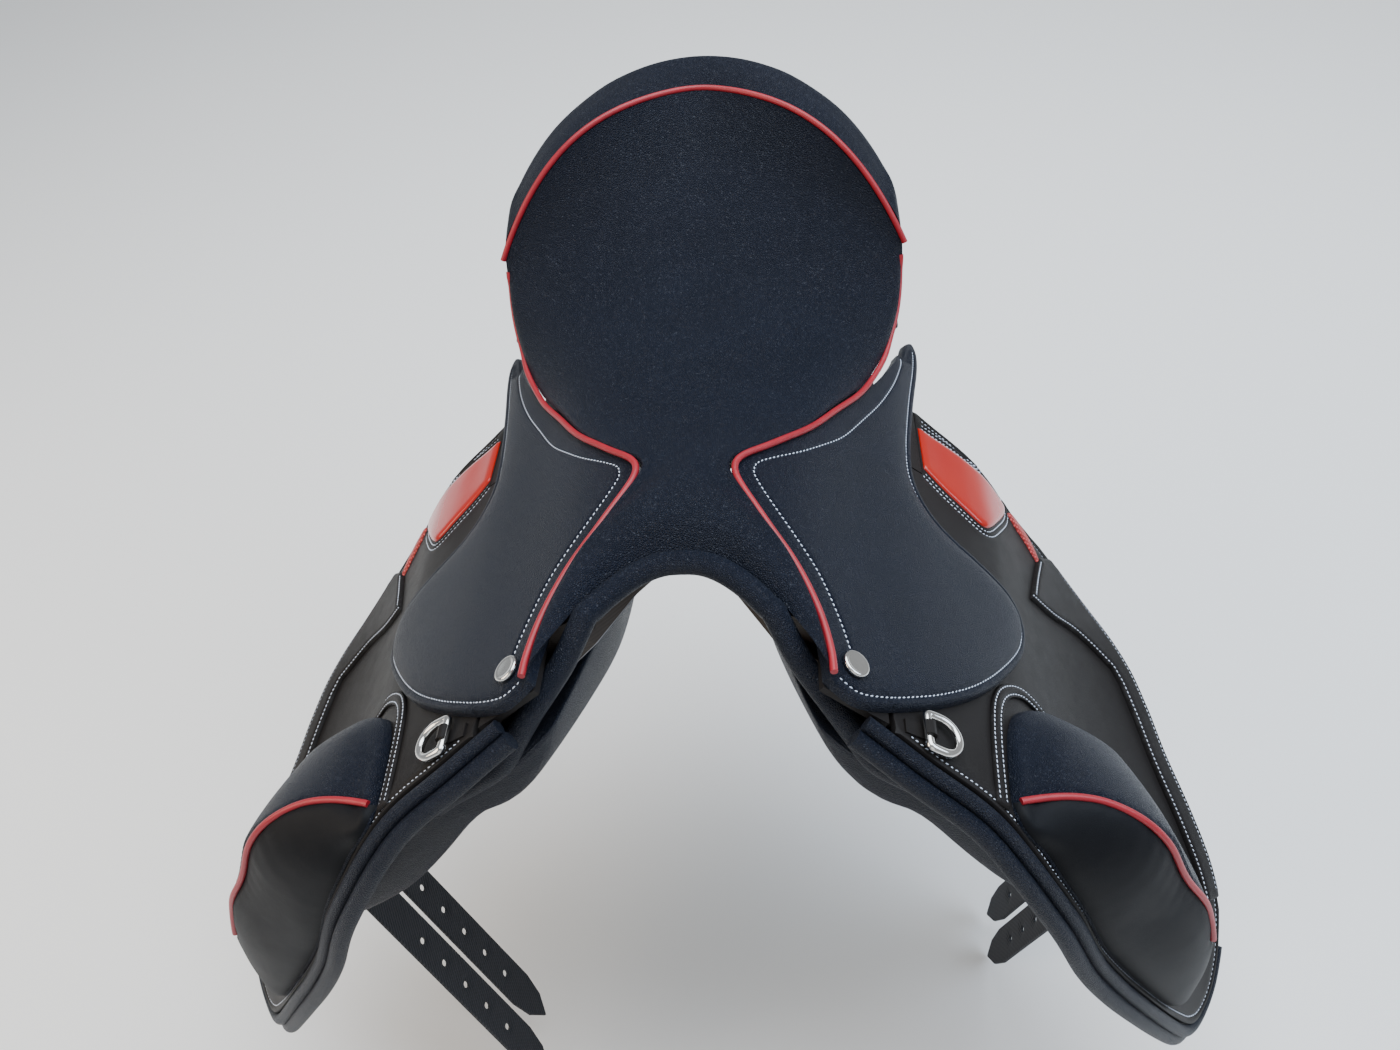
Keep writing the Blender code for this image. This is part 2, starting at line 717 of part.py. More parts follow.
def across_the_top(places, low, high, half_length):
    """An arch on the drape from side to side, centred on (y, s) places, the first of them in the middle."""
    rings = []
    for y, s in places:
        ends = (y - half_length, y + half_length)
        rings.append([drape(at, s, high) for at in ends] + [drape(at, s, low) for at in reversed(ends)])
    mirrored = [[Vector((-p.x, p.y, p.z)) for p in ring] for ring in rings[1:]]
    return loft(list(reversed(rings)) + mirrored)


def prism(section, start, end):
    """A section of (s, height) points run straight along the saddle beside the seat."""
    ring = []
    for k, (s, h) in enumerate(section):
        ring.append((s, h))
        far, level = section[(k + 1) % len(section)]
        lines = [j * GRID_S for j in range(-4, 12) if min(s, far) + 0.5 < j * GRID_S < max(s, far) - 0.5]
        for line in lines if far > s else reversed(lines):
            ring.append((line, h + (level - h) * (line - s) / (far - s)))
    return loft([[drape(y, s, h) for s, h in ring] for y in (start, end)])


def cut(obj, cutter_mesh, name, saddle, mirrored=False, operation="DIFFERENCE"):
    """Takes a mesh away from an object, or joins it on, with an exact Boolean."""
    cutter = saddle.piece(name, cutter_mesh, saddle.steel, mirrored)
    saddle.parts.objects.unlink(cutter)
    saddle.cutters.objects.link(cutter)
    cutter.hide_render = True
    cutter.display_type = "WIRE"
    boolean = obj.modifiers.new(name, "BOOLEAN")
    boolean.operation = operation
    boolean.solver = "EXACT"
    boolean.object = cutter


def make_tree(saddle, grid):
    head = across_the_top(HEAD_PLACES, HEAD_LOW, HEAD_TOP, HEAD_HALF)
    saddle.piece("tree_head", head, saddle.beech)
    plate = across_the_top(HEAD_PLACES[:-2], PLATE_LOW, HEAD_LOW - 0.25, HEAD_HALF - 3)
    saddle.piece("gullet_plate", plate, saddle.steel)
    top_plate = across_the_top(HEAD_PLACES[:3], HEAD_TOP + 0.25, HEAD_TOP + 2.05, HEAD_HALF - 4)
    saddle.piece("head_plate", top_plate, saddle.steel)
    for bm in (head, plate, top_plate):
        bm.free()
    low_rail = (
        (RAIL_IN, RAIL_LOW), (RAIL_OUT, RAIL_LOW), (RAIL_OUT, RAIL_TOP), (RAIL_IN, RAIL_TOP),
    )
    rail = prism(low_rail, RAIL_FRONT, RAIL_REAR)
    rails = saddle.pair("tree_rail", rail, saddle.beech)
    high_rail = (
        (RAIL_IN, RAIL_LOW + 3), (RAIL_STEP, RAIL_LOW + 3), (RAIL_STEP, RAIL_RAISED), (RAIL_IN, RAIL_RAISED),
    )
    riser = prism(high_rail, RISER_FRONT, RAIL_REAR - 2)
    for obj, mirrored in zip(rails, (False, True)):
        cut(obj, riser, f"{obj.name}_riser", saddle, mirrored, "UNION")
    riser.free()
    over = grid.layer(0, None, 0, lambda j: 8.0, lambda j: grid.under(grid.web_low + 0.25, j))
    board = grid.layer(
        11, None, 1,
        lambda j: grid.under(grid.web_low - 2.0, j),
        lambda j: grid.under(grid.web_low + 0.5 + CANTLE_BOARD_T, j),
    )
    bmesh.ops.translate(board, vec=(0, -0.3, 0), verts=board.verts)
    for obj in rails:
        cut(obj, over, f"{obj.name}_seat_cut", saddle)
        cut(obj, board, f"{obj.name}_cantle_cut", saddle)
    over.free()
    board.free()
    spring = prism(
        ((34, SPRING_LOW), (54, SPRING_LOW), (54, RAIL_LOW - 0.25), (34, RAIL_LOW - 0.25)),
        SPRING_FRONT, RAIL_REAR - 8,
    )
    saddle.pair("tree_spring", spring, saddle.steel)


# Leathers

def skirt_rim():
    """Outer edge of the whole skirt, from its front corner to its rear tip."""
    return curve_through([Vector(p) for p in SKIRT_RIM], per=2)


def skirt_top(point, distance):
    return rounded(distance, SKIRT_LOW + SKIRT_EDGE_T, SKIRT_TOP, 10.0)


def make_skirts(saddle, hinge):
    rim = skirt_rim()
    fixed_front = [p for p in rim if p.y < HINGE_S - 4 and p.x < 0]
    moving = [p for p in rim if p.y > HINGE_S + 1 and p.x < REAR_CUT - SEAM]
    fixed_rear = [p for p in rim if p.x > REAR_CUT + 4]
    seam = seam_pattern()
    band = seam + list(reversed(fixed_rear)) + [
        Vector((REAR_CUT, fixed_rear[0].y - 0.5)), Vector((REAR_CUT, HINGE_S)),
        Vector((moving[0].x - 1.0, HINGE_S)),
    ] + list(reversed(fixed_front))
    bm = pattern_mesh(band, SKIRT_LOW, skirt_top, (), rim)
    saddle.pair("skirt_band", bm, saddle.grain)
    outline = moving + [
        Vector((REAR_CUT - SEAM, moving[-1].y)), Vector((REAR_CUT - SEAM, HINGE_S + SEAM)),
        Vector((moving[0].x, HINGE_S + SEAM)),
    ]
    bm = pattern_mesh(outline, SKIRT_LOW, skirt_top, (), rim)
    saddle.pair("skirt", bm, saddle.grain, hinge)


def make_flaps(saddle, hinge):
    notch_front, notch_rear = NOTCH_Y
    root = [
        (-201, ROOT_IN), (-207, HINGE_S), (notch_front, HINGE_S), (notch_front, NOTCH_S[0]),
        (notch_rear, NOTCH_S[0]), (notch_rear, HINGE_S), (REAR_CUT, HINGE_S), (REAR_CUT, FLAP_STEP),
        (71, FLAP_STEP), (70, 112), (60, 96), (44, 70), (30, ROOT_IN),
    ]
    bm = pattern_mesh(root, -FLAP_T, lambda point, distance: 0.0)
    saddle.pair("flap_root", bm, saddle.calf)
    rear = [Vector(p) for p in FLAP_REAR]
    front = [Vector(p) for p in FLAP_FRONT]
    top = [
        (notch_front, HINGE_S + SEAM), (notch_front, NOTCH_S[1]), (notch_rear, NOTCH_S[1]),
        (notch_rear, HINGE_S + SEAM), (REAR_CUT - SEAM, HINGE_S + SEAM), (REAR_CUT - SEAM, FLAP_STEP + SEAM),
    ]
    flap = [Vector(p) for p in top] + rear + front
    bm = pattern_mesh(flap, -FLAP_T, lambda point, distance: 0.0)
    saddle.pair("flap", bm, saddle.calf, hinge)
    under_rear = [Vector(p) for p in UNDER_REAR]
    inner_front = [p for p in offset_line(front, 5.0) if p.y > UNDER_START + 4]
    under = under_rear + inner_front + [Vector((-208, UNDER_START)), Vector((30, UNDER_START + 40))]
    low = UNDER_TOP - UNDER_FLAP_T
    bm = pattern_mesh(under, low, lambda point, distance: UNDER_TOP)
    saddle.pair("under_flap", bm, saddle.calf, hinge)
    edge = offset_line(front, -(EDGE_R + 0.25))
    path = [drape(p.x, p.y, -FLAP_T) for p in edge]
    saddle.pair("flap_roll", tube(path, EDGE_R, 8), saddle.grain, hinge)
    strip = curve_through([Vector(p) for p in BLOCK_STRIP], per=2)
    outline = offset_line(strip, STRIP_HALF) + list(reversed(offset_line(strip, -STRIP_HALF)))
    bm = pattern_mesh(outline, 0.25, lambda point, distance: STRIP_T)
    saddle.pair("block_strip", bm, saddle.calf, hinge)
    thigh = curve_through([Vector(p) for p in THIGH_LINE], per=2)
    outline = offset_line(thigh, THIGH_HALF) + list(reversed(offset_line(thigh, -THIGH_HALF)))
    bm = pattern_mesh(outline, 0.25, lambda point, distance: rounded(distance, 1.5, THIGH_T, 5.0), (2.5,))
    saddle.pair("thigh_strip", bm, saddle.calf, hinge)
    bm = pattern_mesh(
        INSERT_OUTLINE, 0.25, lambda point, distance: rounded(distance, 1.2, INSERT_T, 4.0), (2.0,)
    )
    saddle.pair("patent_insert", bm, saddle.patent, hinge)
    crescent = curve_through([Vector(p) for p in CRESCENT], per=2, closed=True)
    bm = pattern_mesh(crescent, UNDER_TOP + 0.25, lambda point, distance: -0.4)
    saddle.pair("patent_crescent", bm, saddle.patent, hinge)


def block_height(point):
    """Height of the knee block over the flap: a slope up to the ridge, and a longer one behind it."""
    front = min(max((point.x - BLOCK_FRONT) / (BLOCK_RIDGE - BLOCK_FRONT), 0.0), 1.0)
    back = min(max((point.x - BLOCK_RIDGE) / (BLOCK_REAR - BLOCK_RIDGE), 0.0), 1.0)
    ends = min((point.y - BLOCK_S[0]) / BLOCK_RISE[0], (BLOCK_S[1] - point.y) / BLOCK_RISE[1], 1.0)
    ends = math.sin(math.pi / 2 * max(ends, 0.0))
    return BLOCK_T * (0.2 + 0.8 * ends) * (0.45 + 0.55 * front) * (1 - 0.72 * back**1.3)


def block_top(point, distance):
    return rounded(distance, 6.0, max(block_height(point), 8.0), BLOCK_ROUND)


def make_blocks(saddle, hinge):
    outline = [Vector(p) for p in BLOCK_OUTLINE]
    bm = pattern_mesh(outline, 0.25, block_top, (5.0, 13.0, 25.0))
    blocks = saddle.pair("knee_block", bm, saddle.grain, hinge)
    rim = outline + outline[:1]
    path = []
    for p in curve_through([Vector(p) for p in BLOCK_SEAM], per=4):
        height = block_top(p, edge_distance(p, rim))
        path.append(drape(p.x, p.y, height - 0.4))
    saddle.pair("block_piping", tube(path, PIPING_R, 6), saddle.red, hinge)
    groove = tube([path[0] * 2 - path[1], *path, path[-1] * 2 - path[-2]], PIPING_R + 0.25, 6)
    for block, mirrored in zip(blocks, (False, True)):
        cut(block, groove, f"{block.name}_groove", saddle, mirrored)
    groove.free()


# Panels and billets

def lie(y, s, height):
    """Point over the panel's own face, which follows the horse instead of the flared flap."""
    place = min(y, FRONT_STATION + (y - FRONT_STATION) * PANEL_FLARE)
    at, normal = surface(place, s), surface_normal(place, s)
    at.y = fore(y)
    normal.y = 0
    return at + normal.normalized() * height


def panel_depth(s):
    knots = (0, 118, 220, 270, 320, 360, 420)
    depths = ((56,), (56,), (57,), (50,), (37,), (20,), (16,))
    return smooth_at(knots, depths, s)[0]


def panel_ring(y, s_in, inner_x, rise, arch, s_out):
    level = math.tan(math.radians(SEAT_TIP)) * fore(y) + rise
    front = y < HEAD_REAR
    inner = PANEL_TOP_FRONT if front else PANEL_TOP_BACK
    outer = WEB_HOLD - BILLET_T - 1.1
    tops = [(s_in, inner), (max(s_in + 3, GRID_S), inner), (max(s_in + 7, GRID_S * 2), inner)]
    tops += [(GRID_S * 3, inner), (GRID_S * 3 + 8, inner - 1.5 if front else outer)]
    for share in (0.13, 0.28, 0.45, 0.64, 0.82, 1.0):
        s = 84 + (s_out - 84) * share
        tops.append((s, inner - 1.5 if front and s < 150 else outer))
    ring = [lie(y, s, h) for s, h in tops]
    bottom = []
    for share in (1.0, 0.75, 0.45, 0.2):
        s = 84 + (s_out - 84) * share
        depth = min(panel_depth(s), 22) if share == 1.0 else panel_depth(s)
        p = lie(y, s - (6 if share == 1.0 else 0), -depth)
        bottom.append(p)
    ring += bottom
    ring.append(Vector((max(96, inner_x + 24), fore(y), level - 2 + arch * 0.35)))
    ring.append(Vector((inner_x + 12, fore(y), level + 1 + arch * 0.7)))
    ring.append(Vector((inner_x, fore(y), level + 14 + arch)))
    return ring


def make_panels(saddle):
    rings = [panel_ring(*station) for station in PANEL_STATIONS]
    bm = loft(rings)
    saddle.pair("panel", bm, saddle.grain)


def make_billets(saddle):
    low = WEB_HOLD - BILLET_T
    front, rear = BILLET_Y[0] - BILLET_WIDTH / 2, BILLET_Y[1] + BILLET_WIDTH / 2
    middle = (front + rear) / 2
    rings = []
    for s in (104, 126, 150, 180, 210, 240, 270, 300, 330, BILLET_EDGE):
        ring = [lie(front, s, WEB_HOLD), lie(rear, s, WEB_HOLD), lie(rear, s, low), lie(front, s, low)]
        if s == BILLET_EDGE:
            level = [lie(middle, s, WEB_HOLD)] * 2 + [lie(middle, s, low)] * 2
            ring = [Vector((flat.x, p.y, flat.z)) for flat, p in zip(level, ring)]
        rings.append(ring)
    saddle.pair("billet_web", loft(rings), saddle.web)
    for name, y, length in zip(("front", "rear"), BILLET_Y, BILLET_LENGTHS):
        start = lie(middle, BILLET_EDGE + BILLET_DROP, (WEB_HOLD + low) / 2)
        start.y = fore(y)
        for side, (lean, back) in BILLET_HANG.items():
            mirrored = side == "right"
            lean, back = math.radians(lean), math.radians(back)
            flat = math.cos(back)
            down = Vector((-math.sin(lean) * flat, math.sin(back), -math.cos(lean) * flat))
            out = Vector((math.cos(lean), 0, -math.sin(lean)))
            bm = strap_mesh(start, down, out, length)
            strap = saddle.piece(f"billet_{name}_{side}", bm, saddle.web, mirrored, start)
            bm.free()
            drill = bmesh.new()
            for k in range(HOLES):
                at = start + down * (length - HOLE_FROM_TIP - HOLE_PITCH * k)
                cylinder(at, out, HOLE_R, BILLET_T * 3, 8, drill)
            cut(strap, drill, f"{strap.name}_holes", saddle, mirrored)
            drill.free()


def strap_mesh(start, down, out, length):
    """A flat strap from its rounded top edge, level along the saddle, to a pointed tip."""
    bm = bmesh.new()
    half = BILLET_WIDTH / 2
    across = down.cross(out).normalized()
    shape = (
        (-half, 0), (half, 0), (half, 14), (half, length - 20), (half * 0.55, length - 6), (0, length),
        (-half * 0.55, length - 6), (-half, length - 20), (-half, 14),
    )
    rows = []
    for d in (-BILLET_T / 2, BILLET_T / 2):
        rows.append([bm.verts.new(start + across * a + down * b + out * d) for a, b in shape])
        for vert, a in zip(rows[-1], (half, -half) if across.y < 0 else (-half, half)):
            vert.co = start + Vector((0, a, 0)) + out * d
    for k in range(1, len(shape)):
        n = (k + 1) % len(shape)
        bm.faces.new((rows[0][k], rows[0][n], rows[1][n], rows[1][k]))
    bm.faces.new(list(reversed(rows[0])))
    bm.faces.new(rows[1])
    up = out.cross(Vector((0, 1, 0)))
    up = up if up.dot(down) < 0 else -up
    nose = []
    for row, d in zip(rows, (-0.4, 0.4)):
        nose.append([bm.verts.new(v.co + up * BILLET_NOSE - out * (out.dot(v.co - start) - d * BILLET_T / 2))
                     for v in row[:2]])
        bm.faces.new((row[0], row[1], nose[-1][1], nose[-1][0]))
    bm.faces.new((nose[0][0], nose[0][1], nose[1][1], nose[1][0]))
    for k in (0, 1):
        bm.faces.new((rows[0][k], nose[0][k], nose[1][k], rows[1][k]))
    bmesh.ops.recalc_face_normals(bm, faces=bm.faces)
    return bm


# Fittings

def make_fittings(saddle, hinge):
    at = drape(NAIL_Y, NAIL_S, SKIRT_TOP + 0.12)
    normal = (drape(NAIL_Y, NAIL_S, 9) - drape(NAIL_Y, NAIL_S, 0)).normalized()
    nail = cylinder(at + normal * NAIL_T / 2, normal, NAIL_R, NAIL_T, 20)
    saddle.pair("saddle_nail", nail, saddle.chrome)
    front = BAR_FRONT
    rear = BAR_FRONT + BAR_LENGTH
    rod_in, rod_out = BAR_S + 13.0, BAR_S + 21.0
    shape = (
        (front, BAR_S), (rear, BAR_S), (rear, BAR_S + 5), (front + 9, BAR_S + 5), (front + 9, rod_in),
        (rear - 6, rod_in), (rear - 4, rod_in + 1.5), (rear - 4, rod_out - 1.5), (rear - 6, rod_out),
        (front, rod_out),
    )
    bar = pattern_mesh(shape, BAR_LOW, lambda point, distance: BAR_TOP)
    saddle.pair("stirrup_bar", bar, saddle.steel)
    eye_y, eye_s = rear + CATCH_R + 0.3, BAR_S + CATCH_R
    pivot = drape(eye_y, eye_s, (BAR_LOW + BAR_TOP) / 2)
    shape = []
    for k in range(9):
        angle = math.pi * k / 8
        shape.append((eye_y - CATCH_R * math.cos(angle), eye_s - CATCH_R * math.sin(angle)))
    shape += [
        (rear + CATCH_R * 2 + 0.3, rod_out - 5), (rear + 6, rod_out), (rear - 3.6, rod_out),
        (rear - 3.6, rod_in + 4), (rear + 0.3, rod_in + 2),
    ]
    catch = pattern_mesh(shape, BAR_LOW + 2, lambda point, distance: BAR_TOP - 1)
    saddle.pair("bar_catch", catch, saddle.steel, pivot)
    make_ring(saddle)
    eye = RING_WIRE + 0.3 + CHAPE_T / 2
    path = [Vector((RING_S - 12, 0.25 + CHAPE_T / 2)), Vector((RING_S - 5, 0.25 + CHAPE_T / 2))]
    for k in range(9):
        angle = math.radians(-100 + 250 * k / 8)
        path.append(Vector((RING_S + eye * math.cos(angle), RING_H + eye * math.sin(angle))))
    strip = offset_line(path, CHAPE_T / 2) + list(reversed(offset_line(path, -CHAPE_T / 2)))
    rings = [[drape(RING_Y, s, h) + Vector((0, d, 0)) for s, h in strip] for d in (-CHAPE_HALF, CHAPE_HALF)]
    saddle.pair("dee_chape", loft(rings), saddle.calf, hinge)


def make_ring(saddle):
    """Chrome dee ring, its straight side up in the leather loop that it turns in."""
    at = drape(RING_Y, RING_S, RING_H)
    down = (drape(RING_Y, RING_S + 20, RING_H) - at).normalized()
    normal = down.cross(Vector((0, 1, 0))).normalized()
    half = RING_WIDTH / 2
    bow = []
    for k in range(13):
        angle = math.pi * k / 12
        bow.append((half * math.cos(angle), RING_DROP + (RING_LENGTH - RING_DROP) * math.sin(angle)))
    outline = [(half - 2, 0), (half - 0.3, 1.6), *bow, (0.3 - half, 1.6), (2 - half, 0), (-5, 0), (5, 0)]
    loop = [at + Vector((0, across, 0)) + down * drop for across, drop in outline]
    rings = []
    count = len(loop)
    turn = [2 * math.pi * n / 8 for n in range(8)]
    for k, p in enumerate(loop):
        run = (loop[(k + 1) % count] - loop[k - 1]).normalized()
        side = run.cross(normal).normalized()
        rings.append([p + (side * math.cos(a) + normal * math.sin(a)) * RING_WIRE for a in turn])
    bm = loft([*rings, rings[0]], close_ends=False)
    bmesh.ops.remove_doubles(bm, verts=bm.verts, dist=1e-4)
    saddle.pair("dee_ring", bm, saddle.chrome, at)


def make_pommel_roll(saddle, grid):
    row = grid.rows[0]
    path = []
    for k in range(1, len(row) - 1):
        run = (row[k + 1] - row[k - 1]).normalized()
        side = Vector((0, 0, 1)).cross(run).normalized()
        side = side if side.y < 0 else -side
        path.append(row[k] + side * (ROLL_R - 0.02) - Vector((0, 0, COVER_T / 2)))
    path = [p for p in path if abs(p.x) < ROLL_LEAVES]
    foot = [Vector(p) for p in ROLL_FOOT]
    path = [Vector((-p.x, p.y, p.z)) for p in reversed(foot)] + path + foot
    roll = tube(path, ROLL_R, 12)
    saddle.piece("pommel_roll", roll, saddle.grain)
    roll.free()


def main():
    clear_scene()
    saddle = Saddle()
    grid = SeatGrid()
    hinge = drape(0, HINGE_S, SKIRT_TOP)
    make_seat(saddle, grid)
    side_path, back_path = make_piping(saddle, grid)
    make_cantle_panel(saddle, side_path, back_path)
    make_tree(saddle, grid)
    make_skirts(saddle, hinge)
    make_flaps(saddle, hinge)
    make_blocks(saddle, hinge)
    make_panels(saddle)
    make_billets(saddle)
    make_fittings(saddle, hinge)
    make_pommel_roll(saddle, grid)


main()
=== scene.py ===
import math

import bpy
import numpy as np
from bpy.props import FloatProperty, FloatVectorProperty, PointerProperty
from mathutils import Matrix, Vector
from mathutils.geometry import delaunay_2d_cdt


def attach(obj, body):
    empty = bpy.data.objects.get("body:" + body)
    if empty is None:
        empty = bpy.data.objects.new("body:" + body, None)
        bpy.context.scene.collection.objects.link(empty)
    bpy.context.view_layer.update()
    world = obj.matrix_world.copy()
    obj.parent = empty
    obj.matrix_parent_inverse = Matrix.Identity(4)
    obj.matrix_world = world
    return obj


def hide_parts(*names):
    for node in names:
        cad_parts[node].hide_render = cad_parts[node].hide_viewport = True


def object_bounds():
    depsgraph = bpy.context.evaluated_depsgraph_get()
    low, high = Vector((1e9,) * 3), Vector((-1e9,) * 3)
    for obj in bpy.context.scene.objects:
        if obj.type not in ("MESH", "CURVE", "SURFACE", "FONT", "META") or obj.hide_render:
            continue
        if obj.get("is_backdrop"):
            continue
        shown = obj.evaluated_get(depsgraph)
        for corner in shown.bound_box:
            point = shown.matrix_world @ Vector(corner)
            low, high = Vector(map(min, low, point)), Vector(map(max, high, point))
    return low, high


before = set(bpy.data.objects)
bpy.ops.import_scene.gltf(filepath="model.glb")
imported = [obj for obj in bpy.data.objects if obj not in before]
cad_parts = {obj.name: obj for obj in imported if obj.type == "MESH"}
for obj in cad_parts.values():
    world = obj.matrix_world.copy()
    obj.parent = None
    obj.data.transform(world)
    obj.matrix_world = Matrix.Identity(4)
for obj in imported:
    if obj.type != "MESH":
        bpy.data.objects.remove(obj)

bl_info = {
    "name": "Dressage saddle",
    "version": (1, 0, 0),
    "blender": (4, 5, 0),
    "location": "View3D > Sidebar > Saddle",
    "description": "Leathers, padding, thread and fittings of a dressage saddle over its packed parts",
    "category": "Add Mesh",
}

MM = 0.001
SIDES = {"left": np.array([1.0, 1.0, 1.0]), "right": np.array([-1.0, 1.0, 1.0])}  # mirrors a left piece
TIP = math.radians(6.0)  # the tree is tipped back from the line of the flaps

# Drape of the flaps: pattern places and the front and rear profiles, in millimetres
PATTERN_S = (-38, -14, 0, 26, 62, 99, 137, 162, 185, 226, 267, 307, 354, 410, 464, 510)
FRONT_XZ = (
    (0, 111), (24, 109), (37, 105), (60, 93), (90, 72), (120, 52), (151, 29), (168, 10),
    (181, -9), (201, -44), (217, -82), (236, -117), (260, -157), (287, -206), (311, -254), (330, -296),
)
REAR_XZ = (
    (0, 111), (24, 109), (37, 105), (60, 93), (90, 72), (120, 52), (150, 28), (171, 12),
    (188, -4), (212, -38), (238, -70), (268, -100), (308, -130), (357, -160), (401, -186), (437, -208),
)
FRONT_STATION = -240.0
REAR_STATION = 40.0
FLARE = 1.6
BLOCK_SPAN = 24  # length over which the blocks take the surface's direction

# Spacing of points, in millimetres on the pattern and in metres along cords
LINE_STEP = 2.0
EDGE_RINGS = (0.5, 1.2, 2.2, 3.5, 5.0)
SEAM_HALF = 1.5
CORD_STEP = 0.0025
ROLL_STEP = 0.003
SHARP = 35.0  # edges over this many degrees are not shaded smooth

# Levels over the flap's outer face, and how the leathers are rounded
GAP = 0.28
SKIRT_LOW = 0.28
SKIRT_TOP = 7.78
FLAP_T = 3.8
UNDER_TOP = -4.1
UNDER_LOW = -7.3
COVER_T = 2.4
PIPING_H = 9.88
SKIRT_BEAD = (5.3, 2.7)  # rise of the rolled edge and how far in it reaches
SKIRT_PAD = 2.3
FLAP_ROUND = 1.3
UNDER_ROUND = 1.1
STRIP_FACE = (0.25, 2.0, 1.6)  # height of a trim's edge and of its middle, and how far in that reaches
STRIP_HALF = 4.5
WELT = (5.4, 7.4, 1.3)  # how far out and under the flap's roll it lies, and its share of that radius
SEAM_END = 118.0
SEAT_INSET = 2.3
NAIL_LIFT = 0.12

# Stitches: their rows' distances from the edges, in millimetres, and their lean in radians
SKIRT_STITCH = 5.6
FLAP_STITCH = 4.2
UNDER_STITCH = 3.6
INSERT_STITCH = 9.0
INSERT_ROWS = (2.4, 6.2)
STRIP_STITCH = 1.9
STRIP_ROWS = (-2.5, 2.5)
THIGH_STITCH = 2.7
THIGH_ROW = 2.6
SLANT = 0.2
SLANT_WOBBLE = 0.06
STITCH_SEED = 7

# Seat stations: middle (y, z), edge (half width, y, z) and how late the surface rolls down
SEAT_STATIONS = (
    (-127, 105, 75, -199, 79, 2.0), (-114, 118, 74, -185, 88, 2.0), (-98, 123, 69, -163, 99, 2.0),
    (-84, 123, 58, -137, 108, 2.0), (-73, 121, 42, -111, 115, 2.0), (-62, 118, 26, -76, 118, 2.0),
    (-44, 114, 45, -52, 111, 2.4), (-18, 109, 68, -23, 98, 2.7), (14, 106, 87, 12, 84, 3.0),
    (50, 107, 107, 48, 74, 3.0), (84, 113, 122, 80, 74, 3.0), (115, 124, 132, 106, 86, 3.0),
    (146, 144, 135.5, 121, 101, 3.0), (176, 170, 136, 129, 111, 3.0), (198, 195, 136, 132, 118, 3.2),
    (207, 206, 136, 133, 121, 3.4),
)

# Cantle: its crest at the corners and its rise to the middle, then its half widths and its back
CREST_Y = (138.0, 97.0)
CREST_Z = (120.0, 101.0)
CREST_X = 134.0
RISE_X = 137.0
CANTLE_FOOT = 94.0
BACK_GAP = 2.05
BACK_T = 6.0
BACK_ROWS = ([36, 24, 12, 0], (28, 25, 21, 17, 12, 8, 4))  # rows of the piping beside it and over it
BACK_FOOT = 8

# Seat: rows and columns of its grids, its foam and its webs
SEAT_GRID = (150, 96)
PIPING_GRID = (181, 61)
FOAM_T = 14.0
FOAM_TAPER = 0.62
FOAM_GAP = 0.3
FOAM_PART = (slice(27, 141), slice(13, 83))  # rows and columns of the grid
WEB_T = 2.0
WEB_GAP = 0.55
WEB_PART = (slice(40, 131), slice(20, 76))
CORNER_ROWS = 12  # rows of the seat's side that the cantle's corner takes up
ROLL_X = 48.0  # half the straight part of the pommel roll

# Leather outlines, as (y, s) on the pattern
HINGE_S = 76.0
REAR_CUT = 6.0
SKIRT_RIM = (
    (-202, 42), (-206, 54), (-202, 72), (-194, 92), (-183, 113), (-166, 137), (-143, 160), (-112, 184),
    (-86, 191), (-68, 180), (-56, 155), (-42, 127), (-20, 113), (10, 112), (62, 120), (112, 130),
    (136, 132), (146, 127), (138, 120), (118, 114.5),
)
SKIRT_SEAM = (
    (-188.3, 52.1), (-165, 45.5), (-137.6, 34.2), (-118, 22), (-102.8, 11.8), (-88, 2.5), (-79, -2),
    (-73.6, -3), (-66, -0.6), (-57, 9.5), (-44.3, 24.5), (-28, 40), (-10.2, 55.2), (14, 70.5),
    (41.5, 86.9), (70, 100), (95, 108.5), (114, 113.5),
)
FLAP_REAR = (
    (71, 124.6), (60, 156), (42, 206), (32, 254), (0, 308), (-26, 334), (-55, 350), (-85, 366),
    (-115, 392), (-140, 418), (-162, 438),
)
FLAP_FRONT = (
    (-182, 446), (-202, 449), (-220, 443), (-233, 428), (-241, 392), (-247, 350), (-251, 300), (-252, 250),
    (-248, 205), (-241, 172), (-233, 150), (-226, 128), (-219, 103), (-210, 80),
)
NOTCH_Y = (-178.0, -56.0)
NOTCH_S = (46.0, 84.0)
FLAP_ROOT = (
    (-201, 38), (-207, HINGE_S), (NOTCH_Y[0], HINGE_S), (NOTCH_Y[0], NOTCH_S[0]), (NOTCH_Y[1], NOTCH_S[0]),
    (NOTCH_Y[1], HINGE_S), (REAR_CUT, HINGE_S), (REAR_CUT, 124), (71, 124), (70, 112), (60, 96), (44, 70),
    (30, 38),
)
UNDER_START = 92.0
UNDER_REAR = (
    (56, 150), (48, 180), (43, 206), (46, 230), (46, 250), (39, 272), (2, 312), (-24, 338), (-53, 354),
    (-83, 370), (-113, 396), (-138, 422), (-160, 442),
)
BLOCK_STRIP = (
    (-228, 144), (-205, 146.5), (-180, 150), (-160, 155), (-147, 164), (-139, 179), (-137, 196), (-138, 210),
)
THIGH_INNER = ((-38, 222), (-34, 252), (-29, 277), (-31, 297), (-38, 317))
INSERT_OUTLINE = (
    (53, 126), (50, 146), (46, 166), (41, 186), (35, 202), (30, 205.5), (20, 201), (4, 189), (-8, 179),
    (-12, 172), (-10, 163), (-2, 147), (9, 130), (12, 126),
)
CRESCENT = (
    (31, 211), (35.5, 216), (34, 227), (28, 237), (19, 244.5), (8, 248), (14, 240), (21, 230), (26, 219),
)
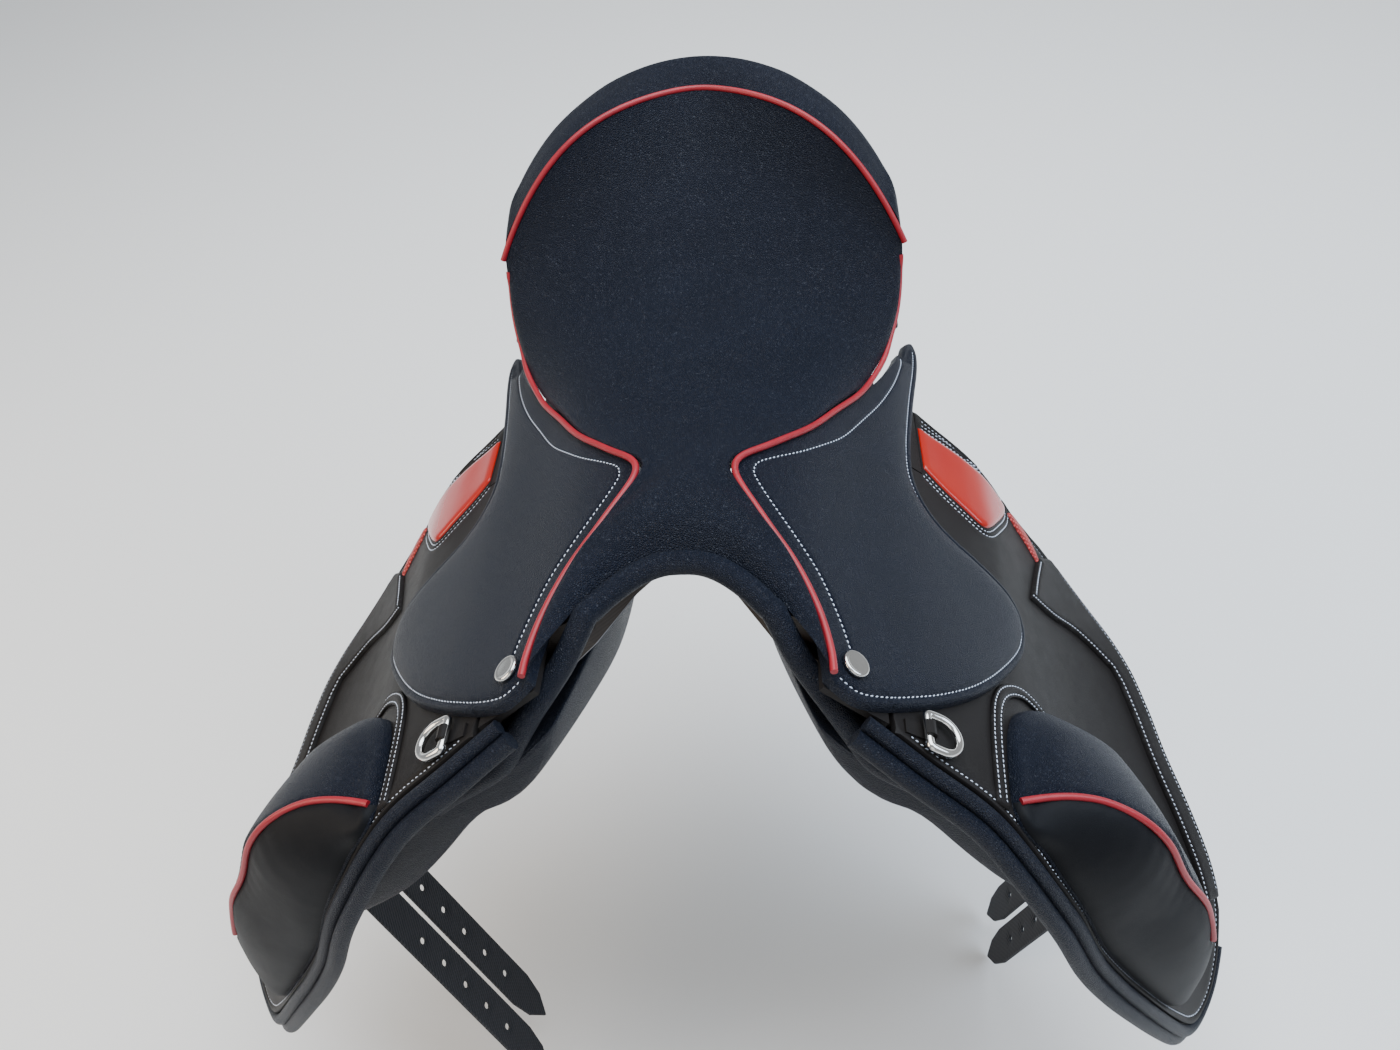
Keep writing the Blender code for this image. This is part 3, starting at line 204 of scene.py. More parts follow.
BLOCK_OUTLINE = (
    (-236, 162), (-238, 180), (-244, 205), (-248, 250), (-247, 300), (-243, 350), (-236, 386), (-217, 402),
    (-190, 394), (-166, 366), (-148, 318), (-138, 272), (-137, 240), (-143, 222), (-148, 200), (-152, 182),
    (-160, 169), (-176, 160), (-200, 155), (-226, 153),
)
BLOCK_SEAM = (
    (-222.5, 153.6), (-221, 156.5), (-217, 166), (-215, 174), (-213, 187), (-215, 200), (-218, 220),
    (-219, 250), (-217, 281), (-214, 312), (-216, 338),
)
BLOCK_T = 53.0
BLOCK_FRONT = -248.0
BLOCK_RIDGE = -216.0
BLOCK_REAR = -126.0
BLOCK_S = (160.0, 398.0)
BLOCK_RISE = (75.0, 120.0)

# Pommel roll, panels and straps
ROLL_FOOT = (
    (58, -180, 84), (67, -188, 73), (76, -196, 63), (86, -202, 48), (96, -206, 32), (112, -207, 18),
    (126, -207, 7), (139, -207, -5),
)
PANEL_FLARE = 0.35
PANEL_STATIONS = (
    (-206, 60, 78, 0, 34, 336), (-196, 52, 72, 0, 31, 348), (-170, 38, 62, 0, 23, 356),
    (-136, 20, 50, 0, 13, 358), (-112, 10, 44, 0, 6, 352), (-98, 8, 41, 0, 3, 342), (-76, 6, 38, 0, 0, 312),
    (-48, 4, 36, 0, 0, 252), (-15, 4, 36, 0, 0, 190), (20, 4, 36, 0, 0, 140), (60, 4, 36, 0, 0, 112),
    (110, 4, 36, 1, 0, 104), (160, 4, 36, 6, 0, 102), (205, 6, 38, 16, 0, 98), (232, 12, 46, 32, 0, 92),
)
PANEL_TOP_FRONT = -29.5
PANEL_TOP_BACK = -18.45
WEB_HOLD = -9.8
BILLET_Y = (-142.0, -109.0)
BILLET_EDGE = 364.0
BILLET_DROP = 1.78
BILLET_LENGTHS = (250.0, 238.0)
BILLET_HANG = {"left": (13.5, 9.0), "right": (32.0, -16.0)}
BILLET_WIDTH = 27.0
BILLET_T = 3.4
HOLE_R = 2.6
HOLE_START = 52
HOLE_PITCH = 25
HOLE_COUNT = 5

# Fittings
NAIL_PLACE = (-187.0, 51.0)
NAIL_PROFILE = (
    (0.01, 0.0), (6.9, 0.0), (7.35, 0.25), (7.5, 0.8), (7.5, 1.7), (7.2, 2.3), (6.6, 2.62), (5.9, 2.66),
    (5.6, 2.5), (4.4, 2.55), (2.2, 2.66), (0.01, 2.7),
)
RING_Y = -205.0
RING_S = 97.0
RING_WIRE = 2.3
RING_DROP = 8.0
RING_LENGTH = 19.0
RING_WIDTH = 20.0
RING_H = 4.25
TREE_KINDS = {
    "tree_head": "beech", "tree_cantle": "beech", "tree_rail": "beech", "tree_spring": "steel",
    "head_plate": "steel", "gullet_plate": "steel", "stirrup_bar": "steel", "bar_catch": "steel",
    "dee_chape": "calf",
}

# Stage, in metres: each light's name, place, size, power and colour
LIGHTS = (
    ("sky", (0.3, 0.5, 1.9), 2.4, 78.0, (0.86, 0.93, 1.0)),
    ("window_left", (-1.5, -0.5, 0.9), 1.3, 20.0, (1.0, 0.84, 0.66)),
    ("window_right", (1.6, -0.2, 1.2), 1.3, 22.0, (0.7, 0.82, 1.0)),
    ("front", (0.1, -1.9, 0.7), 1.6, 4.0, (1.0, 0.98, 0.95)),
)
LIT_POINT = (0, 0, 0.02)
ROOM_LIGHT = ((0.93, 0.96, 1.0, 1.0), 0.4)
FLOOR_HALF = 6.0
FLOOR_DROP = 0.002

# Camera, found from both sides of the saddle in the photograph: focal length over image width
CAMERA_AT = (0.058158, -0.473622, 0.564331)
CAMERA_AXES = (
    (0.996107, 0.035327, -0.080761), (0.024902, 0.76609, 0.642251), (0.084558, -0.641762, 0.762228),
)
CAMERA_FOCAL = 1113.042 / 1400
SENSOR = 36.0


def length(name, description, default, least):
    return FloatProperty(name=name, description=description, default=default, min=least, unit="LENGTH")


def colour(name, description, default):
    return FloatVectorProperty(
        name=name, description=description, default=default, size=3, min=0.0, max=1.0, subtype="COLOR"
    )


class SaddleSizes(bpy.types.PropertyGroup):
    step: length("Surface step", "Spacing of the points over each leather", 0.0036, 0.001)
    stitch_pitch: length("Stitch pitch", "Distance from one stitch to the next", 0.0031, 0.001)
    stitch_length: length("Stitch length", "Length of the thread that shows of each stitch", 0.0021, 0.0005)
    thread: length("Thread", "Radius of the sewing thread", 0.00042, 0.0001)
    groove: length("Stitch groove", "How far the thread pulls the leather in", 0.0007, 0.0)
    piping: length("Piping radius", "Radius of the red piping", 0.0019, 0.0005)
    pommel_roll: length("Pommel roll radius", "Radius of the padded roll along the pommel", 0.0065, 0.001)
    edge_roll: length("Edge roll radius", "Radius of the rolled front edge of the flaps", 0.004, 0.001)
    grain: length("Grain size", "Width of one pebble of the grain leather", 0.0011, 0.0003)


class SaddleColours(bpy.types.PropertyGroup):
    grain_leather: colour("Grain leather", "Navy black pebbled leather", (0.0065, 0.0095, 0.019))
    calf_leather: colour("Calf leather", "Charcoal smooth leather", (0.0105, 0.0092, 0.009))
    block_face: colour("Block face", "Black leather of the blocks' front faces", (0.0035, 0.004, 0.0055))
    piping: colour("Piping", "Rose red piping", (0.32, 0.010, 0.020))
    patent: colour("Patent", "Glossy red inserts", (0.42, 0.007, 0.004))
    thread: colour("Thread", "Pale sewing thread", (0.66, 0.72, 0.84))
    chrome: colour("Chrome", "Nails and dee rings", (0.82, 0.81, 0.78))
    steel: colour("Steel", "Bars, springs and plates of the tree", (0.35, 0.35, 0.37))
    beech: colour("Beech", "Laminated wood of the tree under its dark lacquer", (0.028, 0.019, 0.013))
    foam: colour("Foam", "Seat foam", (0.75, 0.72, 0.6))
    webbing: colour("Webbing", "Woven straps", (0.012, 0.013, 0.017))
    floor: colour("Floor", "Plain pale floor", (0.9, 0.9, 0.89))


def sizes():
    return bpy.context.scene.saddle_sizes


# Shader maths

class Value:
    """A number socket on which Python expressions add Math nodes."""

    def __init__(self, nodes, socket):
        self.nodes = nodes
        self.socket = socket

    def math(self, operation, *values):
        return self.nodes.value("ShaderNodeMath", {"operation": operation}, *values)

    def __add__(self, other):
        return self.math("ADD", self, other)

    def __radd__(self, other):
        return self.math("ADD", other, self)

    def __sub__(self, other):
        return self.math("SUBTRACT", self, other)

    def __rsub__(self, other):
        return self.math("SUBTRACT", other, self)

    def __mul__(self, other):
        return self.math("MULTIPLY", self, other)

    def __rmul__(self, other):
        return self.math("MULTIPLY", other, self)

    def clamped(self):
        return self.nodes.value("ShaderNodeClamp", {}, self)


class Nodes:
    """Makes the nodes of one tree."""

    def __init__(self, tree):
        self.tree = tree

    def feed(self, socket, value):
        """Links a value to a socket, or sets the socket to a number or a colour."""
        if isinstance(value, Value):
            value = value.socket
        if isinstance(value, bpy.types.NodeSocket):
            self.tree.links.new(value, socket)
        elif value is not None:
            socket.default_value = (*value, 1.0) if socket.type == "RGBA" else value

    def make(self, kind, settings=None, *values, **named):
        """A node of this type, its settings first and then the values or links of its sockets."""
        node = self.tree.nodes.new(kind)
        for key, setting in (settings or {}).items():
            setattr(node, key, setting)
        for key, value in (*enumerate(values), *((k.replace("_", " "), v) for k, v in named.items())):
            self.feed(node.inputs[key], value)
        return node

    def value(self, kind, settings=None, *values, output=0, **named):
        return Value(self, self.make(kind, settings, *values, **named).outputs[output])


class Finish(Nodes):
    """A Principled material whose colour, roughness and bump come from nodes."""

    def __init__(self, name):
        self.material = bpy.data.materials.new(name)
        self.material.use_nodes = True
        super().__init__(self.material.node_tree)
        self.shader = self.tree.nodes["Principled BSDF"]
        self.bump = None

    def place(self):
        return self.make("ShaderNodeTexCoord").outputs["Object"]

    def pattern(self):
        return self.make("ShaderNodeUVMap", {"uv_map": "pattern"}).outputs["UV"]

    def noise(self, where, scale, detail=2.0, roughness=0.5, distortion=0.0):
        return self.value(
            "ShaderNodeTexNoise", {}, Vector=where, Scale=scale, Detail=detail, Roughness=roughness,
            Distortion=distortion,
        )

    def cells(self, where, scale, feature="F1"):
        return self.value(
            "ShaderNodeTexVoronoi", {"feature": feature}, Vector=where, Scale=scale, output="Distance"
        )

    def wave(self, where, scale, direction="X", distortion=0.0):
        return self.value(
            "ShaderNodeTexWave", {"bands_direction": direction}, Vector=where, Scale=scale,
            Distortion=distortion,
        )

    def toned(self, share, base, low, high):
        """The base colour between a darker and a lighter tone; a tone is a factor or a colour."""
        node = self.make("ShaderNodeMix", {"data_type": "RGBA"})
        tones = (t if isinstance(t, tuple) else tuple(min(c * t, 1.0) for c in base) for t in (low, high))
        for key, value in zip((0, 6, 7), (share, *tones)):
            self.feed(node.inputs[key], value)
        return node.outputs[2]

    def relief(self, height, distance, strength):
        """Bump over the bumps that are there."""
        node = self.make(
            "ShaderNodeBump", {}, Strength=strength, Distance=distance, Height=height, Normal=self.bump
        )
        self.bump = node.outputs["Normal"]
        self.set(Normal=self.bump)

    def set(self, **values):
        for key, value in values.items():
            self.feed(self.shader.inputs[key.replace("_", " ")], value)


def grain_finish(f, base):
    """Pebbled leather: rounded cells with fine creases, duller in the creases, with painted shade darkening
    their colour there.
    """
    where = f.place()
    scale = 1.0 / sizes().grain
    cells = f.cells(where, scale, "SMOOTH_F1")
    creases = (f.cells(where, scale, "DISTANCE_TO_EDGE") * 3.2).clamped()
    broad = f.noise(where, 26.0, 3.0)
    fine = f.noise(where, 3200.0)
    # The colour is darker in the creases between the pebbles: painted shade, beside the real bump and
    # roughness there.
    f.set(
        Base_Color=f.toned((broad * 0.7 + creases * 0.3).clamped(), base, 0.72, 1.3),
        Roughness=0.44 - creases * 0.1 + broad * 0.06, Specular_IOR_Level=0.2,
    )
    f.relief(creases * 0.8 - cells * 0.35 + fine * 0.12, 0.0007, 1.0)
    f.relief(broad, 0.0012, 0.2)


def calf_finish(f, base):
    """Smooth leather with a very fine grain and a slight mottle."""
    where = f.place()
    fine = (f.cells(where, 2100.0, "DISTANCE_TO_EDGE") * 3.0).clamped()
    broad = f.noise(where, 14.0, 4.0)
    smudge = f.noise(where, 95.0, 3.0)
    f.set(
        Base_Color=f.toned((broad * 0.6 + smudge * 0.4).clamped(), base, 0.7, 1.35),
        Roughness=0.44 + smudge * 0.14 - fine * 0.04, Specular_IOR_Level=0.13,
    )
    f.relief(fine, 0.0001, 0.45)
    f.relief(broad, 0.0015, 0.25)


def block_finish(f, base):
    """Black leather stretched over the block, with soft folds below its piping."""
    where = f.place()
    fine = (f.cells(where, 1500.0, "DISTANCE_TO_EDGE") * 3.0).clamped()
    folds = f.noise(where, 38.0, 1.0, 0.4, 0.6)
    broad = f.noise(where, 16.0)
    f.set(
        Base_Color=f.toned(broad, base, 0.8, 1.3), Roughness=0.46 + folds * 0.12,
        Specular_IOR_Level=0.13,
    )
    f.relief(folds, 0.0012, 0.25)
    f.relief(fine, 0.0001, 0.5)


def piping_finish(f, base):
    where = f.place()
    broad = f.noise(where, 90.0, 3.0)
    f.set(Base_Color=f.toned(broad, base, 0.78, 1.18), Roughness=0.36 + broad * 0.12)
    f.relief(f.cells(where, 2600.0), 0.00008, 0.5)


def patent_finish(f, base):
    broad = f.noise(f.place(), 30.0)
    f.set(
        Base_Color=f.toned(broad, base, 0.85, (base[0], base[1] * 2.6, base[2] * 1.6)),
        Roughness=0.2, Specular_IOR_Level=0.3, Coat_Weight=0.4, Coat_Roughness=0.04,
    )
    f.relief(broad, 0.0012, 0.3)


def woven_red_finish(f, base):
    """The small red crescent, embossed like coarse cloth, painted darker between its knots and lighter on
    them as shade and highlight.
    """
    where = f.pattern()
    knots = (f.wave(where, 150.0, "X") * f.wave(where, 150.0, "Y")).clamped()
    # Painted shade between the knots and painted highlight on them, from the same knots as the bump.
    f.set(Base_Color=f.toned(knots, base, 0.55, (0.75, 0.1, 0.09)), Roughness=0.42)
    f.relief(knots, 0.0004, 0.9)


def thread_finish(f, base):
    ply = f.noise(f.place(), 2600.0)
    f.set(Base_Color=f.toned(ply, base, 0.8, 1.15), Roughness=0.6)
    f.relief(ply, 0.00012, 0.6)


def chrome_finish(f, base):
    film = f.noise(f.place(), 180.0, 3.0)
    f.set(Base_Color=f.toned(film, base, 0.9, 1.0), Metallic=1.0, Roughness=0.07 + film * 0.1)
    f.relief(film, 0.00008, 0.2)


def steel_finish(f, base):
    where = f.place()
    brush = f.noise(where, 700.0, 3.0)
    film = f.noise(where, 40.0, 3.0)
    f.set(Base_Color=f.toned(film, base, 0.75, 1.1), Metallic=1.0, Roughness=0.34 + brush * 0.2)
    f.relief(brush, 0.00008, 0.4)


def beech_finish(f, base):
    """Laminated beech: thin plies with pores along them."""
    where = f.place()
    plies = f.wave(where, 190.0, "Z", 1.2)
    pores = f.noise(where, 900.0, 3.0)
    shade = (plies * 0.6 + pores * 0.4).clamped()
    f.set(Base_Color=f.toned(shade, base, 0.62, 1.2), Roughness=0.5 + pores * 0.2)
    f.relief(plies, 0.0002, 0.4)


def foam_finish(f, base):
    where = f.place()
    f.set(Base_Color=f.toned(f.noise(where, 30.0), base, 0.8, 1.08), Roughness=0.9)
    f.relief(f.cells(where, 800.0), 0.0005, 0.8)


def webbing_finish(f, base):
    """Ribbed woven strap: diagonal ribs across and fine threads along, painted lighter on the ribs and darker
    between them as highlight and shade.
    """
    turned = f.make("ShaderNodeMapping", {}, Vector=f.pattern(), Rotation=(0.0, 0.0, 0.62)).outputs[0]
    ribs = f.wave(turned, 150.0, "X")
    threads = f.wave(turned, 400.0, "Y")
    fuzz = f.noise(f.place(), 1500.0)
    # Painted highlight on the ribs and painted shade between them, with fuzz for random tone.
    f.set(Base_Color=f.toned((ribs * 0.7 + fuzz * 0.3).clamped(), base, 0.5, 1.9), Roughness=0.72)
    f.relief(ribs + threads * 0.35, 0.0004, 0.8)


def floor_finish(f, base):
    f.set(Base_Color=base, Roughness=0.8)


# Each finish: what lays it, its material's name, its colour and the record's slot
FINISHES = {
    "grain": (grain_finish, "navy_grain_leather", "grain_leather", "grain_leather"),
    "calf": (calf_finish, "charcoal_calf_leather", "calf_leather", "calf_leather"),
    "block": (block_finish, "block_face_leather", "block_face", "grain_leather"),
    "piping": (piping_finish, "rose_piping", "piping", "red_piping"),
    "patent": (patent_finish, "red_patent", "patent", "red_patent"),
    "woven_red": (woven_red_finish, "red_textured", "patent", "red_patent"),
    "thread": (thread_finish, "pale_thread", "thread", "calf_leather"),
    "chrome": (chrome_finish, "polished_chrome", "chrome", "chrome"),
    "steel": (steel_finish, "tree_steel_satin", "steel", "tree_steel"),
    "beech": (beech_finish, "beech_plies", "beech", "beech_laminate"),
    "foam": (foam_finish, "open_foam", "foam", "foam"),
    "webbing": (webbing_finish, "ribbed_webbing", "webbing", "webbing"),
    "floor": (floor_finish, "pale_floor", "floor", None),
}
MADE = {}


def finish(kind):
    """The material of a finish, made once."""
    if kind not in MADE:
        lay, name, tone, _ = FINISHES[kind]
        MADE[kind] = Finish(name)
        lay(MADE[kind], getattr(bpy.context.scene.saddle_colours, tone))
    return MADE[kind].material


# Lines and surfaces. Every size here is in millimetres until tipped() makes it metres.

def smooth_rows(knots, rows, at):
    """Smooth curve through rows of numbers at the knots, for many places at once."""
    knots, rows = np.asarray(knots, float), np.asarray(rows, float)
    at = np.clip(np.asarray(at, float), knots[0], knots[-1])
    k = np.clip(np.searchsorted(knots, at, side="left") - 1, 0, len(knots) - 2)
    slopes = np.empty_like(rows)
    slopes[1:-1] = (rows[2:] - rows[:-2]) / (knots[2:] - knots[:-2])[:, None]
    slopes[0] = (rows[1] - rows[0]) / (knots[1] - knots[0])
    slopes[-1] = (rows[-1] - rows[-2]) / (knots[-1] - knots[-2])
    span = (knots[k + 1] - knots[k])[:, None]
    t = (at - knots[k])[:, None] / span
    return (
        (2 * t**3 - 3 * t**2 + 1) * rows[k] + (t**3 - 2 * t**2 + t) * slopes[k] * span
        + (3 * t**2 - 2 * t**3) * rows[k + 1] + (t**3 - t**2) * slopes[k + 1] * span
    )


def unit(v):
    return v / np.maximum(np.linalg.norm(v, axis=-1, keepdims=True), 1e-12)


def surface(y, s):
    """Points of the draped surface at a station y and a distance s down the flap."""
    t = (y - FRONT_STATION) / (REAR_STATION - FRONT_STATION)
    t = np.minimum((t + np.sqrt(t**2 + 0.0004)) / 2, 1)
    share = (1 - (1 - t) ** FLARE)[:, None]
    front, rear = smooth_rows(PATTERN_S, FRONT_XZ, s), smooth_rows(PATTERN_S, REAR_XZ, s)
    xz = front + share * (rear - front)
    return np.stack([xz[:, 0], y, xz[:, 1]], 1)


def surface_normal(y, s, span=1):
    """Normal of the draped surface, averaged over a span down the flap."""
    y = np.maximum(y, FRONT_STATION + 12)
    along = surface(y + 1, s) - surface(y - 1, s)
    down = surface(y, s + span) - surface(y, s - span)
    normal = unit(np.cross(along, down))
    return normal * np.where(normal[:, :1] + normal[:, 2:] > 0, 1.0, -1.0)


def drape(points, height, span=1):
    """Points at a height over the flap's face for (y, s) places of the pattern."""
    y, s = np.asarray(points, float).T
    return surface(y, s) + surface_normal(y, s, span) * np.broadcast_to(height, len(y))[:, None]


def drape_block(points, height):
    """As drape, without carrying the small waves of the surface up to the blocks' height."""
    return drape(points, height, BLOCK_SPAN)


def lie(y, s, height):
    """Point over the panel's own face, which follows the horse instead of the flared flap."""
    y, s = np.array([y], float), np.array([s], float)
    place = np.minimum(y, FRONT_STATION + (y - FRONT_STATION) * PANEL_FLARE)
    at, normal = surface(place, s), surface_normal(place, s)
    at[:, 1] = y
    normal[:, 1] = 0
    return (at + unit(normal) * height)[0]


def tipped(points):
    """The tree tipped back, in metres."""
    p = np.asarray(points, float)
    c, n = math.cos(TIP), math.sin(TIP)
    return np.stack([p[..., 0], p[..., 1] * c + p[..., 2] * n, p[..., 2] * c - p[..., 1] * n], -1) * MM


def curve_through(points, per=5, closed=False):
    """Smooth curve through points, with so many steps from one to the next."""
    p = np.asarray(points, float)
    count = len(p)
    ids = np.arange(count if closed else count - 1)
    pick = (lambda k: p[k % count]) if closed else (lambda k: p[np.clip(k, 0, count - 1)])
    a, b, c, d = (pick(ids + k)[:, None, :] for k in (-1, 0, 1, 2))
    t = (np.arange(per) / per)[None, :, None]
    out = 0.5 * (2 * b + (c - a) * t + (2 * a - 5 * b + 4 * c - d) * t**2 + (3 * b - a - 3 * c + d) * t**3)
    out = out.reshape(-1, p.shape[1])
    return out if closed else np.vstack([out, p[-1]])


def joined(outline):
    return np.vstack([outline, outline[:1]])


def resampled(outline, step):
    """A closed outline with points about one step apart, its corners kept."""
    ends, out = joined(outline), []
    for a, b in zip(ends, ends[1:]):
        count = max(1, int(round(np.linalg.norm(b - a) / step)))
        out.append(a + (b - a) * (np.arange(count) / count)[:, None])
    return np.vstack(out)


def even(line, step=LINE_STEP):
    """The line with points exactly evenly spaced."""
    line = np.asarray(line, float)
    length = np.concatenate([[0], np.cumsum(np.linalg.norm(np.diff(line, axis=0), axis=1))])
    at = np.linspace(0, length[-1], max(2, int(round(length[-1] / step)) + 1))
    return np.stack([np.interp(at, length, column) for column in line.T], 1)


def offset_line(line, distance, closed=False):
    """The line moved to its left."""
    if closed:
        before, after = np.roll(line, 1, 0), np.roll(line, -1, 0)
    else:
        before, after = np.vstack([line[:1], line[:-1]]), np.vstack([line[1:], line[-1:]])
    run = unit(after - before)
    return line + np.stack([-run[:, 1], run[:, 0]], 1) * distance


def smoothed(line, reach):
    """Moving average along a line that keeps its ends."""
    out = line.copy()
    for k in range(1, len(line) - 1):
        near = min(k, len(line) - 1 - k, reach)
        out[k] = line[k - near:k + near + 1].mean(0)
    return out


def distance_to(points, line):
    """Distance of each point to the nearest piece of a line."""
    nearest = np.full(len(points), 1e9)
    for a, b in zip(line, line[1:]):
        run = b - a
        t = np.clip((points - a) @ run / max(run @ run, 1e-9), 0, 1)
        nearest = np.minimum(nearest, np.linalg.norm(a + t[:, None] * run - points, axis=1))
    return nearest


def inside(points, outline):
    x, y = points[:, 0], points[:, 1]
    hit = np.zeros(len(points), bool)
    for (x0, y0), (x1, y1) in zip(outline, np.roll(outline, -1, 0)):
        if y0 != y1:
            hit ^= ((y0 > y) != (y1 > y)) & (x < (x1 - x0) * (y - y0) / (y1 - y0) + x0)
    return hit


def inward(line, distance, outline):
    """A line moved to the inner side of an outline."""
    moved = [offset_line(line, sign * distance) for sign in (1, -1)]
    return max(moved, key=lambda each: np.mean(inside(each, outline)))


def turned_left(outline):
    x, y = outline.T
    area = np.sum(x * np.roll(y, -1) - np.roll(x, -1) * y)
    return outline if area > 0 else outline[::-1]


def thinned(points, least):
    """Drops points that share a cell of the least size with an earlier one."""
    seen = {}
    for k, cell in enumerate(map(tuple, np.floor(points / least).astype(int))):
        seen.setdefault(cell, k)
    return points[list(seen.values())]


def circle(count):
    turn = np.linspace(0, 2 * math.pi, count + 1)[:-1]
    return np.stack([np.cos(turn), np.sin(turn)], 1)


def dome(distance, reach):
    """Rises round from 0 at an edge to 1 at its reach."""
    return np.sqrt(1 - (1 - np.clip(distance / reach, 0, 1)) ** 2)


def rolled_edge(distance, radius):
    """How far a cut edge is rounded down at a distance from it."""
    return radius * (1 - dome(distance, radius))


def pulled_in(points, seams, width=0.9):
    """The dip and the fine puckers along rows of stitches."""
    deep = sizes().groove / MM
    out = np.zeros(len(points))
    for seam in seams:
        away = distance_to(points, seam)
        out -= deep * np.exp(-((away / width) ** 2))
        out += 0.3 * deep * np.exp(-(((away - 2.4) / 1.4) ** 2))
    return out


def cut_sheet(outline, step, rings=EDGE_RINGS, seams=(), holes=(), edge_step=2.4):
    """Points and triangles of a flat leather, closer together at its edges and seams."""
    outline = resampled(turned_left(np.asarray(outline, float)), edge_step)
    loops = [outline, *holes]

    def room(points):
        return np.min([distance_to(points, joined(loop)) for loop in loops], axis=0)

    extra = []
    for inset in rings:
        ring = offset_line(outline, inset, closed=True)
        ring = ring[inside(ring, outline) & (room(ring) > inset * 0.95)]
        extra.append(thinned(ring, 1.6 * 0.6))
    for seam in seams:
        for off in (-SEAM_HALF, -0.7, 0.0, 0.7, SEAM_HALF):
            line = offset_line(even(seam, 1.8), off)
            extra.append(line[inside(line, outline) & (room(line) > 0.45)])
    low, high = outline.min(0), outline.max(0)
    ys, ss = np.meshgrid(np.arange(low[0], high[0], step), np.arange(low[1], high[1], step * 0.87))
    ys = ys + (np.arange(len(ys)) % 2)[:, None] * step * 0.5
    field = np.stack([ys.ravel(), ss.ravel()], 1)
    field = field[inside(field, outline)]
    field = field[room(field) > rings[-1] + step * 0.5]
    for seam in seams:
        field = field[distance_to(field, seam) > SEAM_HALF + step * 0.4]
    extra.append(field)
    for hole in holes:
        extra = [e[~inside(e, hole)] for e in extra]
    edges, start = [], 0
    for loop in loops:
        count = len(loop)
        edges += [(start + k, start + (k + 1) % count) for k in range(count)]
        start += count
    points = [Vector(p) for p in np.vstack([*loops, *extra])]
    found = delaunay_2d_cdt(points, edges, [list(range(len(outline)))], 0, 0.01)
    flat = np.array([tuple(p) for p in found[0]])
    faces = np.array([face for face, origin in zip(found[2], found[5]) if origin])
    for hole in holes:
        faces = faces[~inside(flat[faces].mean(1), hole)]
    return flat, faces, outline


def closed_sheet(flat, faces, place, top, low):
    """Corner points, faces and pattern places of a leather with the given heights of its two faces."""
    count, rim = len(flat), {}
    for face in faces.tolist():
        for a, b in zip(face, face[1:] + face[:1]):
            if rim.pop((b, a), None) is None:
                rim[a, b] = True
    walls = [(a + count, b + count, b, a) for a, b in rim]
    every = faces.tolist() + (faces[:, ::-1] + count).tolist() + walls
    return np.vstack([place(flat, top), place(flat, low)]), every, np.vstack([flat, flat])


def volume(verts, faces):
    total = 0.0
    for first, *rest in faces:
        for a, b in zip(rest, rest[1:]):
            total += float(np.dot(verts[first], np.cross(verts[a], verts[b])))
    return total


def loft(rings, ends=True):
    """Faces between rings of points, with flat ends."""
    count = len(rings[0])
    faces = []
    for start in range(0, (len(rings) - 1) * count, count):
        for k in range(count):
            n = (k + 1) % count
            faces.append((start + k, start + n, start + count + n, start + count + k))
    if ends:
        faces.append(tuple(range(count))[::-1])
        faces.append(tuple(range((len(rings) - 1) * count, len(rings) * count)))
    return np.vstack(rings), faces


def slab(top, low):
    """A closed plate between two grids of points, rows by columns."""
    rows, columns = top.shape[:2]
    shift = rows * columns
    grid = np.arange(shift).reshape(rows, columns)
    faces = np.stack([grid[:-1, :-1], grid[:-1, 1:], grid[1:, 1:], grid[1:, :-1]], -1).reshape(-1, 4)
    rim = np.concatenate([grid[0, :], grid[1:, -1], grid[-1, -2::-1], grid[-2:0:-1, 0]])
    after = np.roll(rim, -1)
    walls = np.stack([after, rim, rim + shift, after + shift], -1)
    verts = np.vstack([top.reshape(-1, 3), low.reshape(-1, 3)])
    return verts, np.vstack([faces, faces[:, ::-1] + shift, walls]).tolist()


# Pieces

def linked(name, data):
    """A new object in the scene, at the origin."""
    obj = bpy.data.objects.new(name, data)
    bpy.context.scene.collection.objects.link(obj)
    return obj


def settled(obj, body, node, kind):
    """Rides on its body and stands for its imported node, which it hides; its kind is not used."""
    if node:
        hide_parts(node)
    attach(obj, body)
    return obj


def add_piece(name, verts, faces, kinds, body, node=None, pattern=None, sharp=SHARP, marks=None):
    """A piece of one or more kinds of finish; marks name the kind of each face."""
    if volume(verts, faces) < 0:
        faces = [tuple(face)[::-1] for face in faces]
    mesh = bpy.data.meshes.new(name)
    mesh.from_pydata(verts.tolist(), [], [tuple(face) for face in faces])
    kinds = [kinds] if isinstance(kinds, str) else kinds
    for kind in kinds:
        mesh.materials.append(finish(kind))
    if marks is not None:
        mesh.polygons.foreach_set("material_index", marks.astype(np.int32))
    if pattern is not None:
        layer = mesh.uv_layers.new(name="pattern")
        corners = np.zeros(len(mesh.loops), np.int32)
        mesh.loops.foreach_get("vertex_index", corners)
        layer.data.foreach_set("uv", (pattern * MM)[corners].ravel().astype(np.float32))
    mesh.shade_smooth()
    if sharp:
        mesh.set_sharp_from_angle(angle=math.radians(sharp))
    return settled(linked(name, mesh), body, node, kinds[0])


def both_sides(name, verts, faces, kinds, body, node, pattern=None, sharp=SHARP, marks=None):
    """The left piece and its mirror image."""
    return [
        add_piece(
            f"{name}_{side}", verts * turn, faces, kinds, body.format(side), f"{node}_{side}", pattern,
            sharp, marks,
        )
        for side, turn in SIDES.items()
    ]


